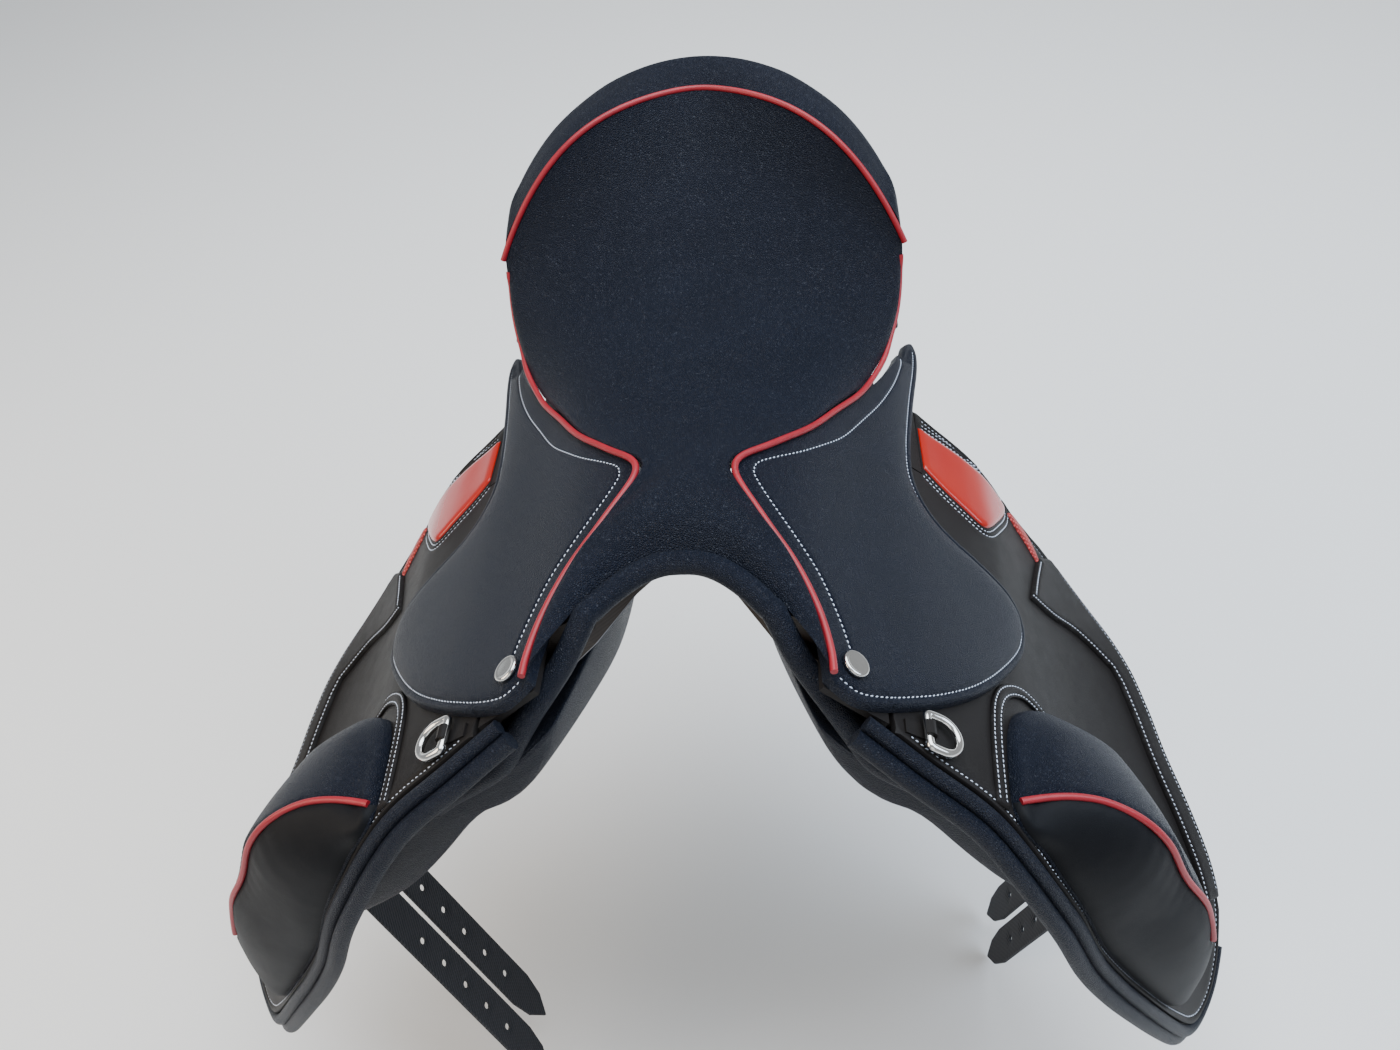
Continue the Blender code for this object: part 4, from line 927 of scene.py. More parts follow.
def leather_pair(name, outline, top, low, kinds, body, node, step=None, rim=None, seams=(),
                 rings=EDGE_RINGS, marked=None, place=drape):
    """A leather cut from the pattern for each side, with the heights of its two faces."""
    flat, faces, edge = cut_sheet(outline, step or sizes().step / MM, rings, seams)
    distance = distance_to(flat, joined(edge) if rim is None else rim)
    high, under = (h(flat, distance) if callable(h) else np.full(len(flat), h, float) for h in (top, low))
    verts, every, pattern = closed_sheet(flat, faces, place, high, under)
    marks = None
    if marked:
        marks = np.zeros(len(every))
        marks[:len(faces)] = marked(flat[faces].mean(1))
    return both_sides(name, tipped(verts), every, kinds, body, node, pattern, marks=marks)


# Threads and cords, made with Geometry Nodes

def start_tree(name, inputs):
    """A tree with its inputs, and the curves of the lines that it is given."""
    tree = bpy.data.node_groups.new(name, "GeometryNodeTree")
    tree.interface.new_socket("Geometry", in_out="INPUT", socket_type="NodeSocketGeometry")
    for label, kind, default in inputs:
        tree.interface.new_socket(label, in_out="INPUT", socket_type=kind).default_value = default
    tree.interface.new_socket("Material", in_out="INPUT", socket_type="NodeSocketMaterial")
    tree.interface.new_socket("Geometry", in_out="OUTPUT", socket_type="NodeSocketGeometry")
    nodes = Nodes(tree)
    source = nodes.make("NodeGroupInput").outputs
    return nodes, source, nodes.make("GeometryNodeMeshToCurve", {}, source["Geometry"]).outputs[0]


def end_tree(nodes, source, geometry):
    """Makes instances real and gives them their material."""
    real = nodes.make("GeometryNodeRealizeInstances", {}, geometry)
    done = nodes.make("GeometryNodeSetMaterial", {}, Geometry=real.outputs[0], Material=source["Material"])
    nodes.make("NodeGroupOutput", {}, done.outputs[0])
    return nodes.tree


def stitch_tree():
    """A row of short arched threads along lines, each leaning a little, square to the leather."""
    nodes, source, lines = start_tree("row_of_stitches", (
        ("Pitch", "NodeSocketFloat", 0.003), ("Length", "NodeSocketFloat", 0.0024),
        ("Radius", "NodeSocketFloat", 0.0004), ("Slant", "NodeSocketFloat", SLANT),
        ("Seed", "NodeSocketInt", STITCH_SEED),
    ))
    spaced = nodes.make(
        "GeometryNodeResampleCurve", {"mode": "LENGTH"}, Curve=lines, Length=source["Pitch"]
    )
    up = nodes.make("GeometryNodeInputNamedAttribute", {"data_type": "FLOAT_VECTOR"}, Name="leather_normal")
    run = nodes.make("GeometryNodeInputTangent")
    turn = nodes.make(
        "FunctionNodeAxesToRotation", {"primary_axis": "Z", "secondary_axis": "X"},
        Primary_Axis=up.outputs["Attribute"], Secondary_Axis=run.outputs[0],
    )
    wobble = nodes.make("FunctionNodeRandomValue", {"data_type": "FLOAT"}, Seed=source["Seed"])
    wobble.inputs[2].default_value = -SLANT_WOBBLE
    wobble.inputs[3].default_value = SLANT_WOBBLE
    lean = Value(nodes, wobble.outputs[1]) + source["Slant"]
    euler = nodes.make(
        "FunctionNodeEulerToRotation", {}, nodes.value("ShaderNodeCombineXYZ", {}, Z=lean)
    )
    placed = nodes.make(
        "FunctionNodeRotateRotation", {"rotation_space": "LOCAL"}, turn.outputs[0], euler.outputs[0]
    )
    ball = nodes.make("GeometryNodeMeshUVSphere", {}, Segments=8, Rings=5, Radius=1.0)
    half = Value(nodes, source["Length"]) * 0.5
    size = nodes.value("ShaderNodeCombineXYZ", {}, half, source["Radius"], source["Radius"])
    thread = nodes.make("GeometryNodeTransform", {}, Geometry=ball.outputs[0], Scale=size)
    rows = nodes.make(
        "GeometryNodeInstanceOnPoints", {}, Points=spaced.outputs[0], Instance=thread.outputs[0],
        Rotation=placed.outputs[0],
    )
    return end_tree(nodes, source, rows.outputs[0])


def cord_tree():
    """A round cord along lines."""
    nodes, source, lines = start_tree("corded_edge", (
        ("Radius", "NodeSocketFloat", 0.002), ("Sides", "NodeSocketInt", 16),
    ))
    shape = nodes.make(
        "GeometryNodeCurvePrimitiveCircle", {"mode": "RADIUS"}, Resolution=source["Sides"],
        Radius=source["Radius"],
    )
    skin = nodes.make(
        "GeometryNodeCurveToMesh", {}, Curve=lines, Profile_Curve=shape.outputs[0], Fill_Caps=True
    )
    smooth = nodes.make("GeometryNodeSetShadeSmooth", {}, skin.outputs[0])
    return end_tree(nodes, source, smooth.outputs[0])


TREES = {}


def along_lines(name, make_tree, lines, normals, values, kind):
    """Runs a Geometry Nodes tree over lines in metres and returns its mesh."""
    if make_tree not in TREES:
        TREES[make_tree] = make_tree()
    verts, edges = [], []
    for line in lines:
        start = len(verts)
        verts += line.tolist()
        edges += [(k, k + 1) for k in range(start, len(verts) - 1)]
    mesh = bpy.data.meshes.new(name + "_line")
    mesh.from_pydata(verts, edges, [])
    if normals:
        layer = mesh.attributes.new("leather_normal", "FLOAT_VECTOR", "POINT")
        layer.data.foreach_set("vector", np.vstack(normals).ravel().astype(np.float32))
    source = linked(name + "_line", mesh)
    modifier = source.modifiers.new("along", "NODES")
    modifier.node_group = TREES[make_tree]
    values = {**values, "Material": finish(kind)}
    for item in modifier.node_group.interface.items_tree:
        if item.item_type == "SOCKET" and item.in_out == "INPUT" and item.name in values:
            modifier[item.identifier] = values[item.name]
    source.update_tag()
    bpy.context.view_layer.update()
    made = bpy.data.meshes.new_from_object(source.evaluated_get(bpy.context.evaluated_depsgraph_get()))
    made.name = name
    bpy.data.objects.remove(source, do_unlink=True)
    if not len(made.polygons):
        raise RuntimeError(f"{name}: the nodes made nothing")
    made.shade_smooth()
    return made


def add_cord(name, line, radius, kind, body, node, sides=16):
    """A round cord along a line in metres."""
    mesh = along_lines(name, cord_tree, [line], None, {"Radius": radius, "Sides": sides}, kind)
    verts = np.array([v.co[:] for v in mesh.vertices])
    if volume(verts, [tuple(p.vertices) for p in mesh.polygons]) < 0:
        mesh.flip_normals()
    return settled(linked(name, mesh), body, node, kind)


def cord_pair(name, line, radius, kind, body, node, sides=16):
    """The left cord and its mirror image."""
    return [
        add_cord(
            f"{name}_{side}", line * turn, radius, kind, body.format(side), node and f"{node}_{side}", sides
        )
        for side, turn in SIDES.items()
    ]


THREADS = {}


def sew(body, flat, face, inset):
    """Keeps a row of stitches on a face, at its distance from the rim, for the body's thread piece."""
    if len(flat) < 2:
        return
    height = face(flat, np.broadcast_to(inset, len(flat)))
    line = tipped(drape(flat, height + sizes().thread / MM * 0.25))
    normal = tipped(surface_normal(*flat.T)) / MM
    for side, turn in SIDES.items():
        THREADS.setdefault(body.format(side), []).append((line * turn, normal * turn))


# Seat

def over_skirt(x):
    """Pattern place and level at which the piping clears the skirts, at a distance from the middle."""
    places = np.linspace(PATTERN_S[0], 140.0, 800)
    points = drape(np.stack([np.zeros(len(places)), places], 1), PIPING_H)
    return np.interp(x, points[:, 0], places), np.interp(x, points[:, 0], points[:, 2])


def seat_rows(count):
    """Seat stations from pommel to cantle, their edges raised onto the skirts."""
    rows = np.array(SEAT_STATIONS, float)
    rows = smooth_rows(np.arange(len(rows)), rows, np.linspace(0, len(rows) - 1, count))
    rows[:, 4] = np.maximum(rows[:, 4], over_skirt(rows[:, 2])[1] + COVER_T / 2 + 0.6)
    return rows


def seat_face(count_t, count_u):
    """Smooth grid over the seat, its rows from pommel to cantle."""
    yc, zc, w, ye, ze, power = seat_rows(count_t).T
    limit = 1 - SEAT_INSET / w
    u = np.sin(np.linspace(-1, 1, count_u) * math.pi / 2) * 0.45 + np.linspace(-1, 1, count_u) * 0.55
    u = limit[:, None] * u[None, :]
    share = np.abs(u)
    bow = 1.8 - 0.7 * np.clip((yc - 60) / 147, 0, 1) - 0.62 * np.exp(-(((yc + 70) / 26) ** 2))
    rounded = (np.sqrt(share**2 + 0.01) - 0.1) / (math.sqrt(1.01) - 0.1)
    x = w[:, None] * u
    y = yc[:, None] + (ye - yc)[:, None] * rounded ** bow[:, None]
    z = zc[:, None] + (ze - zc)[:, None] * share ** power[:, None]
    return np.stack([x, y, z], -1), u / limit[:, None]


def grid_normals(points):
    """Upward normals of a grid of points."""
    normals = unit(np.cross(np.gradient(points, axis=1), np.gradient(points, axis=0)))
    return normals * (1.0 if normals[..., 2].mean() > 0 else -1.0)


class SADDLE_OT_seat(bpy.types.Operator):
    """Seat cover, its foam and the webs under it"""
    bl_idname = "saddle.seat"
    bl_label = "Seat"

    def execute(self, context):
        points, u = seat_face(*SEAT_GRID)
        normals = grid_normals(points)
        side = np.abs(u)

        def layer(high, low, rows=slice(None), columns=slice(None)):
            faces = (points + normals * np.broadcast_to(h, u.shape)[..., None] for h in (high, low))
            return slab(*(tipped(face[rows, columns]) for face in faces))

        crown = 0.35 * np.exp(-((side - 0.86) / 0.09) ** 2)
        down = -1.5 * np.clip((side - 0.965) / 0.035, 0, 1) ** 2
        cover = layer(crown + down, -COVER_T)
        add_piece("seat_skin", *cover, "grain", "saddle", "seat_cover")
        thick = FOAM_T * (1 - FOAM_TAPER * side**2)
        top = -COVER_T - FOAM_GAP
        foam = layer(top, top - thick, *FOAM_PART)
        add_piece("seat_pad", *foam, "foam", "saddle", "seat_foam")
        top = -COVER_T - WEB_GAP - thick
        verts, faces = layer(top, top - WEB_T, *WEB_PART)
        add_piece("seat_webs", verts, faces, "webbing", "saddle", "seat_webbing", verts[:, :2] / MM)
        return {"FINISHED"}


def beside(line, normals, distance, drop):
    """The line moved to its left on the surface, mitred at its corners."""
    before = unit(line - np.vstack([line[:1], line[:-1]]))
    after = unit(np.vstack([line[1:], line[-1:]]) - line)
    run = unit(before + after)
    side = unit(np.cross(normals, run))
    last = np.einsum("ij,ij->i", run, np.vstack([after[:-1], before[-1:]]))
    return line + side * (distance / np.maximum(last, 0.6))[:, None] - normals * drop


def piping_paths():
    """Lines of the piping beside the seat, from cantle to pommel, and over the cantle."""
    points, _ = seat_face(*PIPING_GRID)
    normals = grid_normals(points)
    reach = sizes().piping / MM + 0.2
    from_cantle = slice(-1 - CORNER_ROWS, None, -1)
    side = beside(points[from_cantle, -1], normals[from_cantle, -1], reach, COVER_T / 2)
    edge = seat_rows(PIPING_GRID[0])[from_cantle]
    flat = np.stack([edge[:, 3], over_skirt(edge[:, 2])[0]], 1)
    share = np.clip((58.0 - edge[:, 3:4]) / 30.0, 0, 1)
    side = side + (drape(flat, PIPING_H + 0.1) - side) * share**2 * (3 - 2 * share)
    tuck = np.clip((edge[:, 3:4] - 78.0) / 22.0, 0, 1)
    side = smoothed(side - tuck**2 * (3 - 2 * tuck) * np.array([2.6, 0.0, 3.6]), 3)
    return side, beside(points[-1], normals[-1], reach, COVER_T / 2)


class SADDLE_OT_piping(bpy.types.Operator):
    """Red piping round the seat and over the cantle"""
    bl_idname = "saddle.piping"
    bl_label = "Seat piping"

    def execute(self, context):
        side, back = (even(tipped(line), CORD_STEP) for line in piping_paths())
        radius = sizes().piping
        cord_pair("piping", side, radius, "piping", "saddle", "seat_piping")
        add_cord("piping_cantle", back, radius, "piping", "saddle", "cantle_piping")
        return {"FINISHED"}


def back_row(start, crest, low, bulge):
    """Points down the back of the cantle, from the piping over the crest."""
    first = (start + crest) / 2 + np.array([0, 0, bulge * 0.5])
    upper = crest + (low - crest) * 0.35 + np.array([0, bulge, 0])
    lower = crest + (low - crest) * 0.7 + np.array([0, bulge * 0.6, 0])
    return np.array([start, first, crest, upper, lower, low])


class SADDLE_OT_cantle(bpy.types.Operator):
    """Padded back of the cantle"""
    bl_idname = "saddle.cantle"
    bl_label = "Cantle"

    def execute(self, context):
        side, back = piping_paths()
        rows = []
        for edge in side[BACK_ROWS[0]]:
            start = edge + np.array([BACK_GAP * 0.75, BACK_GAP * 0.2, -BACK_GAP * 2])
            low = np.array([start[0] - 7, start[1] + 10, CANTLE_FOOT - BACK_FOOT])
            rows.append(back_row(start, start + np.array([-0.5, 3, -5]), low, 0.6))
        half = back[PIPING_GRID[1] // 2:]
        for k in BACK_ROWS[1]:
            rise = math.sqrt(max(1 - (half[k, 0] / RISE_X) ** 2, 0))
            rows.append(self.row(half[k], half[k, 0] / CREST_X, rise))
        rows.append(self.row(half[0] * np.array([0, 1, 1]), 0.0, 1.0))
        rows = np.array(rows)
        rows = np.concatenate([rows, rows[:-1][::-1] * SIDES["right"]])
        fine = np.array([curve_through(row, 5) for row in rows])
        fine = np.stack([curve_through(fine[:, k], 6) for k in range(fine.shape[1])], 1)
        normals = unit(np.cross(np.gradient(fine, axis=0), np.gradient(fine, axis=1)))
        if normals[len(normals) // 2, fine.shape[1] // 2, 1] < 0:
            normals = -normals
        padding = slab(tipped(fine), tipped(fine - normals * BACK_T))
        add_piece("cantle_back", *padding, "grain", "saddle", "cantle_panel")
        return {"FINISHED"}

    def row(self, at, reach, rise):
        """A row down the back that starts beside the piping over the seat."""
        start = at + np.array([BACK_GAP * reach, BACK_GAP * rise, BACK_GAP * 0.3])
        crest = np.array([
            CREST_X * reach, CREST_Y[0] + CREST_Y[1] * rise**1.24,
            CREST_Z[0] - 4 + (CREST_Z[1] - 1) * rise**0.96,
        ])
        low = np.array([crest[0] * 0.97, crest[1] - 6 - 6 * rise, CANTLE_FOOT - BACK_FOOT * (1 - rise)])
        return back_row(start, crest, low, 3 + 5 * rise)


class SADDLE_OT_pommel_roll(bpy.types.Operator):
    """Padded roll round the front of the pommel"""
    bl_idname = "saddle.pommel_roll"
    bl_label = "Pommel roll"

    def execute(self, context):
        radius = sizes().pommel_roll
        row = seat_face(16, 61)[0][0]
        side = unit(np.cross([0, 0, 1], unit(np.gradient(row, axis=0))))
        side *= np.where(side[:, 1:2] < 0, 1.0, -1.0)
        path = row + side * (radius / MM - 0.02) - np.array([0, 0, COVER_T / 2])
        path = path[np.abs(path[:, 0]) < ROLL_X]
        foot = np.array(ROLL_FOOT, float)
        path = np.vstack([foot[::-1] * SIDES["right"], path, foot])
        line = even(tipped(curve_through(path, 4)), ROLL_STEP)
        roll = add_cord("front_roll", line, radius, "grain", "saddle", "pommel_roll", 28)
        return {"FINISHED"}


# Skirts and flaps

def skirt_lines():
    """The skirt's rim and its two rows of stitches."""
    rim = curve_through(SKIRT_RIM, 6)
    outer = even(inward(rim, SKIRT_STITCH, SKIRT_RIM))
    return rim, outer[:np.argmax(outer[:, 0] > 134)], even(curve_through(SKIRT_SEAM, 4))


def skirt_height(points, distance):
    """Rolled edge outside the thread line and soft padding inside it."""
    bead = SKIRT_LOW + SKIRT_BEAD[0] * dome(distance, SKIRT_BEAD[1])
    pad = SKIRT_PAD * (1 - np.exp(-np.clip(distance - 5.2, 0, None) / 4.5))
    return bead + pad + pulled_in(points, skirt_lines()[1:])


class SADDLE_OT_skirts(bpy.types.Operator):
    """Skirts: the fixed band beside the seat and the part that lifts"""
    bl_idname = "saddle.skirts"
    bl_label = "Skirts"

    def execute(self, context):
        rim, outer, inner = skirt_lines()
        front = rim[(rim[:, 1] < HINGE_S) & (rim[:, 0] < 0)]
        moving = rim[(rim[:, 1] > HINGE_S) & (rim[:, 0] < REAR_CUT)]
        rear = rim[rim[:, 0] > REAR_CUT]
        edge = seat_rows(61)
        edge = edge[edge[:, 3] < SEAM_END]
        seam = np.stack([edge[:, 3], over_skirt(edge[:, 2])[0]], 1)
        joint = np.array([front[-1], moving[0]])
        hinge = [[np.interp(HINGE_S, joint[:, 1], joint[:, 0]), HINGE_S]]
        joint = np.array([moving[-1], rear[0]])
        cut = [[REAR_CUT, np.interp(REAR_CUT, joint[:, 0], joint[:, 1])], [REAR_CUT, HINGE_S]]
        top = leather_pair(
            "skirt_top", np.vstack([seam, rear[::-1], cut, hinge, front[::-1]]), skirt_height, SKIRT_LOW,
            "grain", "saddle", "skirt_band", step=3.0, rim=rim, seams=(outer, inner),
        )
        leaf = leather_pair(
            "skirt_leaf", np.vstack([hinge, moving, cut]), skirt_height, SKIRT_LOW, "grain",
            "skirt_{}_body", "skirt", step=3.0, rim=rim, seams=(outer,),
        )
        first, last = np.flatnonzero((outer[:, 1] > HINGE_S) & (outer[:, 0] < REAR_CUT))[[0, -1]]
        for body, row in (
            ("saddle", inner), ("saddle", outer[:first]), ("skirt_{}_body", outer[first:last + 1]),
            ("saddle", outer[last + 1:]),
        ):
            sew(body, row, skirt_height, distance_to(row, rim))
        return {"FINISHED"}


def flap_outline():
    """The flap's pattern, notched for the stirrup bar, and its rear and front edges."""
    front_cut, rear_cut = NOTCH_Y
    hinge, back = HINGE_S + GAP, REAR_CUT - GAP
    top = [
        (front_cut, hinge), (front_cut, NOTCH_S[1]), (rear_cut, NOTCH_S[1]), (rear_cut, hinge),
        (back, hinge), (back, 124.28),
    ]
    rear, front = curve_through(FLAP_REAR, 4), curve_through(FLAP_FRONT, 4)
    return np.vstack([top, rear, front]), rear, front


class SADDLE_OT_flaps(bpy.types.Operator):
    """Flaps with their fixed roots, and the under flaps behind them"""
    bl_idname = "saddle.flaps"
    bl_label = "Flaps"

    def execute(self, context):
        outline, rear, front = flap_outline()
        edge = inward(even(np.vstack([rear, front]), 3.0), FLAP_STITCH, outline)
        edge = even(curve_through(edge[3:-1:6], 6))
        insert = even(curve_through(INSERT_OUTLINE, 4))
        rings = [offset_line(insert, distance) for row in INSERT_ROWS for distance in (row, -row)]
        rings = [ring[2:-2] for ring in rings if np.mean(inside(ring, INSERT_OUTLINE)) < 0.3]
        seams = (edge, *rings)

        def face(points, distance):
            crinkle = 0.16 * np.sin(points[:, 0] * 1.7 + 2.2 * np.sin(points[:, 1] * 0.21))
            near = np.exp(-((distance_to(points, front) - 10) / 9.0) ** 2) * (points[:, 1] < 150)
            swell = 0.8 * np.exp(-((distance_to(points, edge) - 5.0) / 3.5) ** 2)
            height = -rolled_edge(distance, FLAP_ROUND) + pulled_in(points, seams)
            return height + crinkle * near + swell * 0.4

        leather_pair(
            "flap_leather", outline, face, lambda p, d: -FLAP_T + 0.4 * (d < 0.3), "calf", "flap_{}_body",
            "flap", seams=seams,
        )
        sew("flap_{}_body", edge, face, FLAP_STITCH)
        for ring in rings:
            sew("flap_{}_body", ring, face, INSERT_STITCH)
        leather_pair("flap_root_leather", FLAP_ROOT, 0.0, -FLAP_T, "calf", "saddle", "flap_root", step=6.0)
        inner = offset_line(curve_through(FLAP_FRONT, 3), 5.0)
        inner = inner[inner[:, 1] > UNDER_START + 4]
        rear = curve_through(UNDER_REAR, 3)
        under = np.vstack([rear, inner, [[-208, UNDER_START], [30, UNDER_START + 40]]])
        rim_line = inward(even(rear, 3.0), UNDER_STITCH, under)

        def second(points, distance):
            return UNDER_TOP - rolled_edge(distance, UNDER_ROUND) + pulled_in(points, (rim_line,))

        leather_pair(
            "under_flap_leather", under, second, UNDER_LOW, "calf", "flap_{}_body", "under_flap", step=5.0,
            seams=(rim_line,),
        )
        sew("flap_{}_body", rim_line, second, UNDER_STITCH)
        return {"FINISHED"}


class SADDLE_OT_flap_edges(bpy.types.Operator):
    """Rolled front edge of each flap and the welt of the under flap behind it"""
    bl_idname = "saddle.flap_edges"
    bl_label = "Flap edges"

    def execute(self, context):
        radius = sizes().edge_roll
        self.rolls("edge_roll", radius / MM + 0.25, -FLAP_T, radius, "flap_roll", 500)
        out, under, share = WELT
        self.rolls("under_welt", radius / MM + out, -FLAP_T - under, radius * share, None, 425)
        return {"FINISHED"}

    def rolls(self, name, reach, level, radius, node, end):
        """A roll along the flap's front edge, outside it by its reach, that stops at its end."""
        front = curve_through((*FLAP_FRONT, (-204.5, 66)), 4)
        edge = min((offset_line(front, reach), offset_line(front, -reach)), key=lambda e: e[20:, 0].mean())
        edge = edge[(edge[:, 1] < end) | (edge[:, 0] < -225)]
        line = smoothed(even(tipped(drape(edge, level)), ROLL_STEP), 3)
        for roll in cord_pair(name, line, radius, "grain", "flap_{}_body", node, 20):
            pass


class SADDLE_OT_trims(bpy.types.Operator):
    """Block strips, thigh patches, patent inserts and crescents"""
    bl_idname = "saddle.trims"
    bl_label = "Trims"

    def execute(self, context):
        self.strip()
        self.thigh_patch()
        self.trim(
            "insert", curve_through(INSERT_OUTLINE, 4), (0.25, 2.0, 4.5), "patent", "patent_insert", 3.0
        )
        self.trim(
            "crescent", curve_through(CRESCENT, 5, closed=True), (0.2, 1.9, 3.0), "woven_red",
            "patent_crescent", 2.0,
        )
        return {"FINISHED"}

    def trim(self, name, outline, profile, kind, node, step):
        """A domed trim; its profile is the height of its edge, its rise and how far in that reaches."""
        edge, rise, reach = profile
        leather_pair(
            name, outline, lambda p, d: edge + rise * dome(d, reach), 0.1, kind, "flap_{}_body", node,
            step=step,
        )

    def stitched(self, name, outline, face, low, node, step, rows, inset, rings=EDGE_RINGS):
        """A calf trim sewn down along its rows."""
        leather_pair(
            name, outline, face, low, "calf", "flap_{}_body", node, step=step, seams=rows, rings=rings
        )
        for row in rows:
            sew("flap_{}_body", row, face, inset)

    def strip(self):
        low, high, reach = STRIP_FACE
        line = curve_through(BLOCK_STRIP, 4)
        outline = np.vstack([offset_line(line, STRIP_HALF), offset_line(line, -STRIP_HALF)[::-1]])
        rows = [even(offset_line(line, off)[1:-1]) for off in STRIP_ROWS]

        def face(points, distance):
            return low + (high - low) * dome(distance, reach) + pulled_in(points, rows, 0.7)

        self.stitched("strip", outline, face, low, "block_strip", 2.4, rows, STRIP_STITCH, (0.4, 1.0))

    def thigh_patch(self):
        rear = curve_through(FLAP_REAR, 6)
        rear = even(rear[rear[:, 1] > 256], 4.0)
        outer, inner = (inward(rear, distance, flap_outline()[0]) for distance in (1.2, 20.0))
        inner = inner[inner[:, 1] > 322]
        lead = curve_through(THIGH_INNER, 4)
        shape = np.vstack([lead, inner[:-3], outer[::-1][2:], [[16, 246], [-10, 234]]])
        rows = (
            even(np.vstack([inward(part, THIGH_ROW, shape) for part in (even(lead, 3.0), inner)]))[1:-6],
            even(inward(outer, 3.0, shape)[3:-4]),
            inward(even([[12, 244.2], [-10, 234], [-30, 225.7]]), THIGH_ROW, shape),
        )

        def face(points, distance):
            rise = 2.6 * dome(distance, 2.4)
            return 0.2 + rise + 0.9 * (1 - np.exp(-distance / 7.0)) + pulled_in(points, rows)

        self.stitched("thigh_patch", shape, face, 0.1, "thigh_strip", 3.0, rows, THIGH_STITCH)


# Knee blocks

def block_height(points):
    """Height of the block's middle: highest along its ridge, lower towards its ends."""
    front = np.clip((points[:, 0] - BLOCK_FRONT) / (BLOCK_RIDGE - BLOCK_FRONT), 0, 1)
    back = np.clip((points[:, 0] - BLOCK_RIDGE) / (BLOCK_REAR - BLOCK_RIDGE), 0, 1)
    upper, lower = (points[:, 1] - BLOCK_S[0]) / BLOCK_RISE[0], (BLOCK_S[1] - points[:, 1]) / BLOCK_RISE[1]
    ends = np.sin(math.pi / 2 * np.clip(np.minimum(upper, lower), 0, 1))
    return BLOCK_T * (0.2 + 0.8 * ends) * (0.45 + 0.55 * front) * (1 - 0.72 * back**1.3)


def block_top(points, distance):
    """Height of the padding, rounded down to the block's wall and edge."""
    high = np.maximum(block_height(points), 8.0)
    return 6.0 + (high - 6.0) * dome(distance, 20.0) - rolled_edge(distance, 4.0)


class SADDLE_OT_blocks(bpy.types.Operator):
    """Padded knee blocks and the piping along their ridges"""
    bl_idname = "saddle.blocks"
    bl_label = "Knee blocks"

    def execute(self, context):
        outline = curve_through(BLOCK_OUTLINE, 5, closed=True)
        seam = curve_through(BLOCK_SEAM, 6)

        def before_seam(points):
            return np.interp(points[:, 1], seam[:, 1], seam[:, 0]) - points[:, 0]

        def face(points, distance):
            folds = 0.35 * np.sin(points[:, 1] * 0.55 + 1.6 * np.sin(points[:, 0] * 0.22))
            below = np.clip(before_seam(points) / 4, 0, 1)
            away = distance_to(points, seam)
            fade = np.exp(-np.clip(away - 2, 0, None) / 9.0)
            dip = -1.6 * np.exp(-((away / 2.6) ** 2))
            low = np.clip((290 - points[:, 1]) / 70, 0, 1)
            return block_top(points, distance) + folds * below * fade * low + dip

        for block in leather_pair(
            "block", outline, face, 0.25, ["grain", "block"], "flap_{}_body", "knee_block", step=3.0,
            rings=(0.6, 1.4, 2.6, 4.2, 6.5), seams=(seam,), marked=lambda p: before_seam(p) > 0,
            place=drape_block,
        ):
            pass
        line = even(curve_through(BLOCK_SEAM, 8), 2.5)
        level = block_top(line, distance_to(line, joined(outline))) - 0.4
        path = smoothed(even(tipped(drape_block(line, level)), CORD_STEP), 4)
        cord_pair("block_cord", path, sizes().piping, "piping", "flap_{}_body", "block_piping")
        return {"FINISHED"}


# Panels and straps

def panel_depth(s):
    """How thick the panel is at a distance down the flap."""
    knots = (0, 118, 220, 270, 320, 360, 420)
    return float(smooth_rows(knots, ((56,), (56,), (57,), (50,), (37,), (20,), (16,)), [s])[0, 0])


def panel_ring(y, s_in, inner_x, rise, arch, s_out):
    """Section of the panel at a station: its top face outwards, its face on the horse inwards."""
    level = math.tan(TIP) * y + rise
    front = y < -110.0
    inner = PANEL_TOP_FRONT if front else PANEL_TOP_BACK
    outer = WEB_HOLD - BILLET_T - 1.1
    tops = [(s_in, inner), (max(s_in + 3, 26), inner), (max(s_in + 7, 52), inner), (78, inner)]
    tops.append((86, inner - 1.5 if front else outer))
    for share in (0.13, 0.28, 0.45, 0.64, 0.82, 1.0):
        s = 84 + (s_out - 84) * share
        tops.append((s, inner - 1.5 if front and s < 150 else outer))
    ring = [lie(y, s, h) for s, h in tops]
    ring.append(lie(y, s_out - 6, -min(panel_depth(s_out), 22)))
    for share in (0.75, 0.45, 0.2):
        s = 84 + (s_out - 84) * share
        ring.append(lie(y, s, -panel_depth(s)))
    for x, z in (
        (max(96, inner_x + 24), level - 2 + arch * 0.35), (inner_x + 12, level + 1 + arch * 0.7),
        (inner_x, level + 14 + arch),
    ):
        ring.append(np.array([x, y, z]))
    return np.array(ring)


class SADDLE_OT_panels(bpy.types.Operator):
    """Stuffed panels"""
    bl_idname = "saddle.panels"
    bl_label = "Panels"

    def execute(self, context):
        verts, faces = loft([tipped(panel_ring(*station)) for station in PANEL_STATIONS])
        for piece in both_sides("stuffed_panel", verts, faces, "grain", "saddle", "panel", sharp=0.0):
            rounding = piece.modifiers.new("rounding", "SUBSURF")
            rounding.levels = rounding.render_levels = 2
        return {"FINISHED"}


